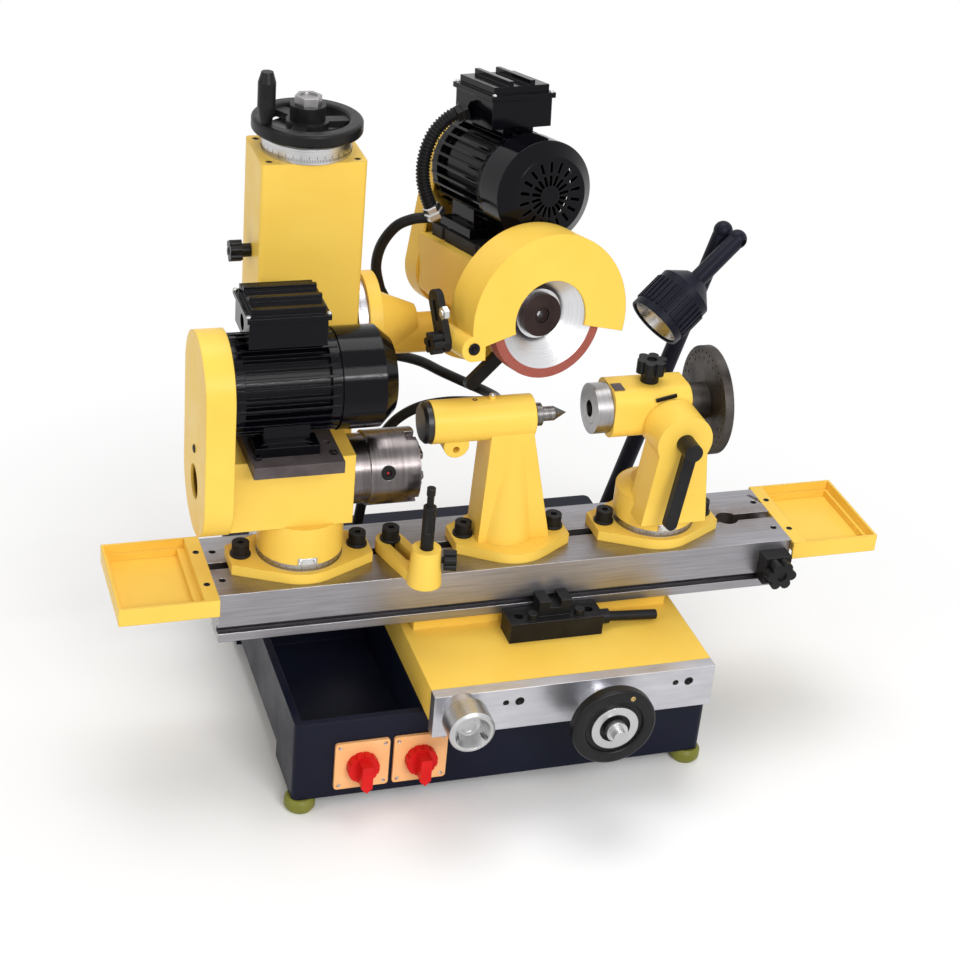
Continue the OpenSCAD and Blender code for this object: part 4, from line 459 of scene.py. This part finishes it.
def lay_hose(name, points, diameter, steps, bodies, node, ribs=False):
    line = smooth_line(points, steps)
    tube = hose_tube(name, line, diameter, ribs)
    dress(tube, "hose")
    if len(bodies) == 2:
        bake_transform(tube)
    else:
        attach(tube, bodies[0])
    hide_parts(node)
    return tube


HEAD_HOSE = [(-70.2, 139, 459.9), (-73, 149, 466.5), (-79, 156, 484), (-84, 156, 510), (-80, 152, 538),
             (-66, 147, 562), (-48, 142, 573), (-30, 136, 577)]
CONDUIT = [(-22, 132, 580), (-32, 134, 599), (-39, 138, 624), (-38, 142, 651), (-28, 146, 677),
           (-10, 149, 695), (11, 151, 703)]
SUPPLY = [(-127.7, 140, 398), (-100, 140, 398), (-62, 147, 393), (-20, 163, 374), (16, 177, 349),
          (46, 179, 332), (69, 162, 326), (76, 132, 331), (63, 105, 342), (34, 92, 350), (-4, 91, 353),
          (-40, 92, 347), (-68, 94, 328), (-84, 98, 296), (-92, 104, 250), (-97, 112, 200),
          (-100, 118, 150), (-100, 118, 124.3)]
HOSE = 13 * MM
CONDUIT_WIDTH = 17 * MM
HEAD_HOSE_STEPS = 120
CONDUIT_STEPS = 160
SUPPLY_STEPS = 200
lay_hose("head_hose", HEAD_HOSE, HOSE, HEAD_HOSE_STEPS, ("arm", "head"), "head_conduit")
lay_hose("ribbed_conduit", CONDUIT, CONDUIT_WIDTH, CONDUIT_STEPS, ("head",), "head_conduit", ribs=True)
lay_hose("supply_hose_tube", SUPPLY, HOSE, SUPPLY_STEPS, ("column", "base"), "supply_hose")


# Small pieces, each shaped from a primitive and set on the body that carries it
def toward(spot, axis, turn=0.0):
    """The frame at a spot, in millimetres, whose Z runs along the axis."""
    lean = Vector(axis).to_track_quat("Z", "Y").to_matrix().to_4x4()
    return Matrix.Translation(Vector(spot) * MM) @ lean @ Matrix.Rotation(math.radians(turn), 4, "Z")


def fresh(name):
    piece = bpy.context.object
    piece.name = name
    bpy.ops.object.transform_apply(location=True, rotation=True, scale=True)
    return piece


def pick(piece, test):
    """Leave the piece in edit mode, with the faces that pass the test selected."""
    select(piece)
    bpy.ops.object.mode_set(mode="EDIT")
    bpy.ops.mesh.select_mode(type="FACE")
    bpy.ops.mesh.select_all(action="DESELECT")
    bpy.ops.object.mode_set(mode="OBJECT")
    for face in piece.data.polygons:
        face.select = test(face.center, face.normal)
    bpy.ops.object.mode_set(mode="EDIT")


def turned(name, profile, sides=40):
    """A turned solid: a disc is drawn out along the profile of radius and height, in millimetres."""
    bpy.ops.object.select_all(action="DESELECT")
    radius, height = profile[0]
    bpy.ops.mesh.primitive_circle_add(vertices=sides, radius=radius * MM, fill_type="NGON",
                                      location=(0, 0, height * MM))
    piece = fresh(name)
    bpy.ops.object.mode_set(mode="EDIT")
    bpy.ops.mesh.select_mode(type="FACE")
    bpy.ops.mesh.select_all(action="SELECT")
    for (r0, z0), (r1, z1) in zip(profile, profile[1:]):
        bpy.ops.mesh.extrude_region_move(TRANSFORM_OT_translate={"value": (0, 0, (z1 - z0) * MM)})
        bpy.ops.transform.resize(value=(r1 / r0, r1 / r0, 1), center_override=(0, 0, z1 * MM))
    bpy.ops.mesh.select_all(action="SELECT")
    bpy.ops.mesh.normals_make_consistent(inside=False)
    bpy.ops.object.mode_set(mode="OBJECT")
    bpy.ops.object.shade_smooth_by_angle(angle=math.radians(35))
    return piece


def socket_screw(radius, height, sides=24):
    """A cap screw with a chamfered head and a sunk socket."""
    screw = turned("screw_pattern", [(radius, 0), (radius, height * 0.86), (radius * 0.88, height)], sides)
    pick(screw, lambda spot, normal: normal.z > 0.99)
    bpy.ops.mesh.inset(thickness=radius * 0.36 * MM)
    bpy.ops.mesh.extrude_region_move(TRANSFORM_OT_translate={"value": (0, 0, -height * 0.6 * MM)})
    bpy.ops.object.mode_set(mode="OBJECT")
    return screw


def plain_block(name, size, place, bevel=0.4):
    """A block with softened edges, its size in millimetres."""
    bpy.ops.object.select_all(action="DESELECT")
    bpy.ops.mesh.primitive_cube_add(size=1, scale=[side * MM for side in size])
    block = fresh(name)
    bpy.ops.object.mode_set(mode="EDIT")
    bpy.ops.mesh.select_all(action="SELECT")
    bpy.ops.mesh.bevel(offset=bevel * MM, segments=2, affect="EDGES")
    bpy.ops.object.mode_set(mode="OBJECT")
    block.data.transform(place)
    return block


def settle(piece, finish, body):
    bpy.ops.object.select_all(action="DESELECT")
    dress(piece, finish)
    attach(piece, body)
    return piece


def set_out(name, pattern, places, finish, body):
    """Copies of a pattern, each in its place, joined into one piece; the pattern goes."""
    copies = []
    for place in places:
        copy = bpy.data.objects.new(name, pattern.data.copy())
        copy.data.transform(place)
        scene.collection.objects.link(copy)
        copies.append(copy)
    bpy.data.objects.remove(pattern)
    select(*copies)
    if len(copies) > 1:
        bpy.ops.object.join()
    return settle(copies[0], finish, body)


def scale_ring(name, radius, low, high, sides, every, keep=None):
    """Marks left of a thin ring, every few faces, raised a little."""
    bpy.ops.object.select_all(action="DESELECT")
    bpy.ops.mesh.primitive_cylinder_add(vertices=sides, radius=(radius - 0.05) * MM, depth=(high - low) * MM,
                                        end_fill_type="NOTHING", location=(0, 0, (low + high) / 2 * MM))
    marks = fresh(name)
    step = math.tau / sides

    def goes(spot, normal):
        turn = math.atan2(spot.y, spot.x) % math.tau
        return int(turn / step) % every != 0 or (keep is not None and not keep(math.degrees(turn)))

    pick(marks, goes)
    bpy.ops.mesh.delete(type="FACE")
    bpy.ops.mesh.select_all(action="SELECT")
    bpy.ops.mesh.extrude_region_shrink_fatten(TRANSFORM_OT_shrink_fatten={"value": 0.15 * MM})
    bpy.ops.mesh.select_all(action="SELECT")
    bpy.ops.mesh.normals_make_consistent(inside=False)
    bpy.ops.object.mode_set(mode="OBJECT")
    return marks


def scale_marks(name, place, radius, low, high, body, sides=720):
    """Long marks every ten degrees and short ones every two."""
    long = scale_ring(name, radius, low, high, sides, sides // 36)
    short = scale_ring(name + "_short", radius, low, low + (high - low) * 0.45, sides, sides // 180)
    select(long, short)
    bpy.ops.object.join()
    long.data.transform(place)
    return settle(long, "ink", body)


UP = (0, 0, 1)
FRONT = (0, -1, 0)
LEFT = (-1, 0, 0)
RIGHT = (1, 0, 0)
HEADSTOCK_AXIS = (-220, TABLE_Y, 0)
WORKHEAD_AXIS = (216, TABLE_Y, 0)
COLUMN_AXIS = (-188, 106, 0)
CROSS_WHEEL_AXIS = (95, 0, 138)
UNIT_RING_R = 49
UNIT_SCALE = (265, 270.5)

scale_marks("headstock_scale", toward(HEADSTOCK_AXIS, UP), UNIT_RING_R, *UNIT_SCALE, "table")
scale_marks("workhead_scale", toward(WORKHEAD_AXIS, UP), UNIT_RING_R, *UNIT_SCALE, "table")
scale_marks("lift_scale", toward(COLUMN_AXIS, UP), 51, 683, 690, "column")
scale_marks("cross_dial_scale", toward(CROSS_WHEEL_AXIS, FRONT), 31, 272, 279, "cross_wheel", 360)
# Degree marks on the ring that the arm turns against
scale_marks("arm_scale", ARM @ toward((0, 0, 0), RIGHT), 50, -126.5, -121, "column")


def pointer_plate(name, centre, low, high, middle, half, body):
    """A bent pointer plate with a screw at each end, on the neck above the scale."""
    def off(turn):
        return abs((turn - middle + 180) % 360 - 180)
    plate = scale_ring(name, UNIT_RING_R, low, high, 180, 1, lambda turn: off(turn) <= half)
    pick(plate, lambda spot, normal: True)
    bpy.ops.mesh.remove_doubles(threshold=0.00001)
    bpy.ops.object.mode_set(mode="OBJECT")
    thicken = plate.modifiers.new("thicken", "SOLIDIFY")
    thicken.thickness = 0.0012
    thicken.offset = 1
    select(plate)
    bpy.ops.object.modifier_apply(modifier="thicken")
    plate.data.transform(Matrix.Translation(Vector(centre) * MM))
    settle(plate, "bright", body)
    places = []
    for turn in (middle - half + 3, middle + half - 3):
        out = Vector((math.cos(math.radians(turn)), math.sin(math.radians(turn)), 0))
        places.append(toward(Vector(centre) + out * 50 + Vector((0, 0, (low + high) / 2)), out))
    set_out(name + "_screws", socket_screw(2.4, 2.2, 16), places, "bright", body)


POINTER = {"low": 274, "high": 281, "middle": 268, "half": 13}
pointer_plate("headstock_pointer", HEADSTOCK_AXIS, body="headstock", **POINTER)
pointer_plate("workhead_pointer", WORKHEAD_AXIS, body="workhead", **POINTER)
PLUG_SEAT_Y = -247.1
PLUG_Z = 149.7


def fit_screws():
    """Cap screws and plugs, each set on the body that carries it."""
    places = [toward((x, -124, 419), UP) for x in (-284, -200)]
    set_out("motor_plate_screws", socket_screw(4.2, 3.2), places, "screw", "headstock")
    places = [toward((-342.1, TABLE_Y, 406.3), LEFT)]
    set_out("belt_guard_screw", socket_screw(4.6, 1.6), places, "screw", "headstock")
    places = [toward((x, y, 249.5), UP) for x in (384.67, -332.67) for y in (-104, -36)]
    set_out("tray_screws", socket_screw(3.8, 1.8), places, "screw", "table")
    places = [toward(Vector(COLUMN_AXIS) + Vector((x, y, 678)), UP) for x in (-50, 50) for y in (-35, 35)]
    set_out("column_cap_screws", socket_screw(3.6, 1.6), places, "screw", "column")
    places = [HEAD @ toward((-98, -166, -22), FRONT)]
    set_out("guard_ear_screw", socket_screw(7, 1.6), places, "screw", "guard")
    places = [toward((x, PLUG_SEAT_Y, PLUG_Z), FRONT) for x in (-18, 189.4)]
    set_out("small_front_plugs", socket_screw(3.5, 2.4), places, "screw", "saddle")
    places = [toward((x, PLUG_SEAT_Y, PLUG_Z), FRONT) for x in (-1.5, 205.9)]
    set_out("large_front_plugs", socket_screw(5.3, 2.4), places, "screw", "saddle")
    places = [toward((x + i * 26, -219, 62 + j * 26), FRONT)
              for x in (-173, -104) for i in (-1, 1) for j in (-1, 1)]
    set_out("switch_plate_screws", socket_screw(1.9, 0.5, 12), places, "bright", "base")


fit_screws()


def fit_lid_screws(name, frame_of, radius, length, body):
    """Four cheese-head screws on the flange of a motor's terminal lid."""
    wall = radius * 0.05
    rise = radius * 1.05 + radius * 0.55 + 2 * wall
    reach = radius * 0.65 - wall / 2
    ends = (length * 0.14 - wall / 4, length * 0.86 + wall / 4)
    places = [frame_of @ toward((rise, y, z), RIGHT) for y in (-reach, reach) for z in ends]
    set_out(name, socket_screw(2.6, 2.2, 16), places, "bright", body)


HEADSTOCK_MOTOR = (Matrix.Translation((-0.3097, TABLE_Y * MM, 0.482))
                   @ Matrix(((0, 0, 1, 0), (0, -1, 0, 0), (1, 0, 0, 0), (0, 0, 0, 1))))
HEAD_MOTOR = (HEAD @ Matrix.Translation((0.024, 0.066, 0.127))
              @ Matrix(((0, -1, 0, 0), (0, 0, -1, 0), (1, 0, 0, 0), (0, 0, 0, 1))))
fit_lid_screws("headstock_lid_screws", HEADSTOCK_MOTOR, 56, 118, "headstock")
fit_lid_screws("head_lid_screws", HEAD_MOTOR, 60, 122, "head")


def chuck_sockets():
    """Key sockets round the chuck, one with a red dot."""
    places = []
    for turn in (11, 131, 251):
        out = Vector((0, math.sin(math.radians(turn)), -math.cos(math.radians(turn))))
        places.append(toward(Vector((-131.7, TABLE_Y, 365)) + out * 35.4, out))
    profile = [(8.2, 0), (8.2, 6.6), (7.6, 7.2), (4.6, 7.2), (4.2, 6.6), (4.2, 3)]
    socket = turned("socket_pattern", profile, 32)
    set_out("chuck_key_sockets", socket, places, "screw", "chuck")
    dot = turned("dot_pattern", [(1.5, 0), (1.5, 0.5), (1.2, 0.7)], 20)
    spot = places[2] @ Matrix.Translation((0.0004, -0.0008, 0.0029))
    set_out("chuck_dot", dot, [spot], "dot", "chuck")


chuck_sockets()


LAMP_AIM = Vector((-86, -30, -66)).normalized()
LAMP_HINGE = Vector((-0.392781, 0.914599, 0.096078))
LAMP_ELBOW = Vector((352, 110, 548))
LAMP_OFFSET = 12.3
LAMP = toward(LAMP_ELBOW - LAMP_HINGE * LAMP_OFFSET, LAMP_AIM)
RIBS = 30


def lamp_inside():
    """The bright bowl in the lamp's mouth, and its bulb."""
    profile = [(10, 112.3), (28.6, 112.8), (32.2, 146), (31.4, 146.4), (26, 130), (16, 118), (9, 115)]
    bowl = turned("lamp_reflector", profile, 64)
    bowl.data.transform(LAMP)
    settle(bowl, "bright", "lamp_shade")
    profile = [(6, 114), (7.5, 117), (11, 126), (11.6, 131), (10, 137), (6, 141), (1.5, 142.4)]
    bulb = turned("lamp_bulb", profile, 32)
    bulb.data.transform(LAMP)
    settle(bulb, "bulb", "lamp_shade")


lamp_inside()


def lamp_ribs():
    """Raised ribs round the shade, between its cone and the plain band at its mouth."""
    rib = plain_block("rib_pattern", (3.6, 3.4, 36), Matrix.Translation((0.0361, 0, 0.121)), 0.8)
    places = [LAMP @ Matrix.Rotation(math.tau * k / RIBS, 4, "Z") for k in range(RIBS)]
    set_out("lamp_shade_ribs", rib, places, "lamp", "lamp_shade")


lamp_ribs()


def tailstock_fittings():
    """A ball oiler and a plain hole plug on the barrel."""
    profile = [(3.6, 0), (3.6, 1.2), (3.0, 1.8), (2.2, 1.8), (1.9, 2.6), (1.0, 3.2)]
    oiler = turned("tailstock_oiler", profile, 24)
    set_out("tailstock_oiler", oiler, [toward((-3.4, TABLE_Y, 446), UP)], "bright", "table")
    plug = turned("plug_pattern", [(2.8, 0), (2.8, 0.5), (2.2, 0.7), (1.5, 0.7), (1.5, 0.2)], 20)
    set_out("tailstock_plug", plug, [toward((-24, TABLE_Y, 441.7), UP)], "screw", "table")


tailstock_fittings()


def workhead_fittings():
    """The dark scale window over the tilt boss, and the small plate by the nose."""
    window = plain_block("tilt_window", (26, 2.4, 5), toward((0, 0, 0), UP), 0.8)
    window.data.transform(toward((206, -82.6, 433.5), UP) @ Matrix.Rotation(math.radians(12), 4, "Y"))
    settle(window, "screw", "workhead_housing")
    plate = plain_block("nose_plate", (13, 17, 1.2), toward((152.5, -60, 440.4), UP), 0.4)
    settle(plate, "brown", "workhead_housing")


workhead_fittings()


GRIP_R = 42
GRIP_SEAT_Y = -303.2


def handwheel_insert():
    """The threaded insert for a grip in the cross handwheel's rim."""
    turn = math.radians(24)
    out = Vector((math.sin(turn), 0, math.cos(turn))) * GRIP_R
    spot = Vector(CROSS_WHEEL_AXIS) + out + Vector((0, GRIP_SEAT_Y, 0))
    insert = turned("grip_insert", [(3.1, 0), (3.1, 1.3), (2.8, 1.6), (2.0, 1.6), (1.9, 0.3)], 24)
    set_out("grip_insert", insert, [toward(spot, FRONT)], "brass", "cross_wheel")


handwheel_insert()


RELIEF_LENGTH = 0.024
RELIEF_GROWTH = 1.42
RELIEF_TAPER = 0.36


def hose_ends():
    """Tapered reliefs and glands where the hoses meet the machine."""
    for name, points, steps, body in (("head_hose_relief", HEAD_HOSE, HEAD_HOSE_STEPS, "arm"),
                                      ("supply_top_relief", SUPPLY, SUPPLY_STEPS, "column"),
                                      ("supply_foot_relief", SUPPLY[::-1], SUPPLY_STEPS, "base")):
        line = smooth_line(points, steps)
        run = []
        for spot in line:
            run.append(spot)
            if run_length(run) > RELIEF_LENGTH:
                break
        relief = hose_tube(name, run, HOSE)
        settle(relief, "hose", body)
        first = run[0]
        far = run_length(run)
        for vertex in relief.data.vertices:
            near = min(run, key=lambda spot: (spot - vertex.co).length)
            grown = RELIEF_GROWTH - RELIEF_TAPER * min(1, (near - first).length / far)
            vertex.co = near + (vertex.co - near) * grown
    gland = turned("gland_pattern", [(13, 0), (13, 7), (11.5, 8), (10.6, 8), (10.6, 14), (9.4, 15.4)], 6)
    lead = Vector(CONDUIT[1]) - Vector(CONDUIT[0])
    set_out("conduit_gland", gland, [toward(CONDUIT[0], lead)], "bright", "head")
    gland = turned("gland_pattern", [(12.4, 0), (12.4, 6), (11, 7), (10.4, 7), (10.4, 13), (9.2, 14)], 6)
    lead = Vector(CONDUIT[-2]) - Vector(CONDUIT[-1])
    set_out("box_gland", gland, [toward(CONDUIT[-1], lead)], "screw", "head")


hose_ends()


def strap_nut():
    """The bright nut that holds the guard's strap."""
    nut = turned("nut_pattern", [(8, 0), (8, 5.4), (7.2, 6.2), (4, 6.2), (3.9, 6.9), (3.2, 7.6)], 6)
    side = HEAD @ toward((-121.2, -142.5, 16), LEFT)
    set_out("strap_nut", nut, [side], "bright", "guard")


strap_nut()


# Floor and studio light
def lay_floor():
    """Pale paper that keeps the shadow near the machine and runs out to white."""
    bpy.ops.object.select_all(action="DESELECT")
    bpy.ops.mesh.primitive_plane_add(size=14, location=(0, 0, 0))
    floor = bpy.context.object
    floor.name = "floor"
    finish = Finish("floor_paper", rough=0.9, gloss=0.1)
    finish.set("Base Color", finish.mix(finish.patches(2), (0.94, 0.94, 0.94), (0.96, 0.96, 0.96)))
    spot = finish.place()
    far = finish.step(finish.reach(spot["X"], spot["Y"]), 0.62, 0.26)
    path = add_node(finish.tree, "ShaderNodeLightPath")
    seen = finish.math("MAXIMUM", path.outputs["Is Camera Ray"], finish.math(
        "MAXIMUM", path.outputs["Is Glossy Ray"], path.outputs["Is Transmission Ray"]))
    white = add_node(finish.tree, "ShaderNodeEmission", values={"Color": (1, 1, 1, 1), "Strength": 1.0})
    mix = add_node(finish.tree, "ShaderNodeMixShader")
    join(finish.tree, finish.math("MULTIPLY", seen, far), mix.inputs["Fac"])
    join(finish.tree, finish.shader.outputs["BSDF"], mix.inputs[1])
    join(finish.tree, white.outputs["Emission"], mix.inputs[2])
    join(finish.tree, mix.outputs["Shader"], finish.tree.nodes["Material Output"].inputs["Surface"])
    floor.data.materials.append(finish.material)


def hang_light(name, spot, aim, size, power):
    data = bpy.data.lights.new(name, "AREA")
    data.shape = "RECTANGLE"
    data.size, data.size_y = size
    data.energy = power
    light = bpy.data.objects.new(name, data)
    scene.collection.objects.link(light)
    light.location = spot
    light.rotation_euler = (Vector(aim) - Vector(spot)).to_track_quat("-Z", "Y").to_euler()


def light_world():
    world = bpy.data.worlds.new("studio")
    scene.world = world
    world.use_nodes = True
    tree = world.node_tree
    tree.nodes.clear()
    out = tree.nodes.new("ShaderNodeOutputWorld")
    light = add_node(tree, "ShaderNodeBackground", values={"Color": (1, 1, 1, 1), "Strength": 0.48})
    seen = add_node(tree, "ShaderNodeBackground", values={"Color": (1, 1, 1, 1), "Strength": 1.0})
    path = add_node(tree, "ShaderNodeLightPath")
    glossy = add_node(tree, "ShaderNodeMath", {"operation": "MAXIMUM"})
    either = add_node(tree, "ShaderNodeMath", {"operation": "MAXIMUM"})
    mix = add_node(tree, "ShaderNodeMixShader")
    join(tree, path.outputs["Is Glossy Ray"], glossy.inputs[0])
    join(tree, path.outputs["Is Transmission Ray"], glossy.inputs[1])
    join(tree, path.outputs["Is Camera Ray"], either.inputs[0])
    join(tree, glossy.outputs["Value"], either.inputs[1])
    join(tree, either.outputs["Value"], mix.inputs["Fac"])
    join(tree, light.outputs["Background"], mix.inputs[1])
    join(tree, seen.outputs["Background"], mix.inputs[2])
    join(tree, mix.outputs["Shader"], out.inputs["Surface"])


lay_floor()
light_world()
hang_light("key", (0.4, -2.9, 2.3), (0, 0, 0.35), (1.8, 1.6), 38)
hang_light("fill", (-2.6, -1.2, 1.7), (0, 0, 0.4), (1.2, 1.6), 12)
hang_light("top", (0.2, 0.6, 3.0), (0, 0, 0.3), (2.0, 1.4), 34)
hang_light("front_strip", (0.2, -2.6, 1.75), (0, 0, 0.5), (1.4, 0.12), 18)
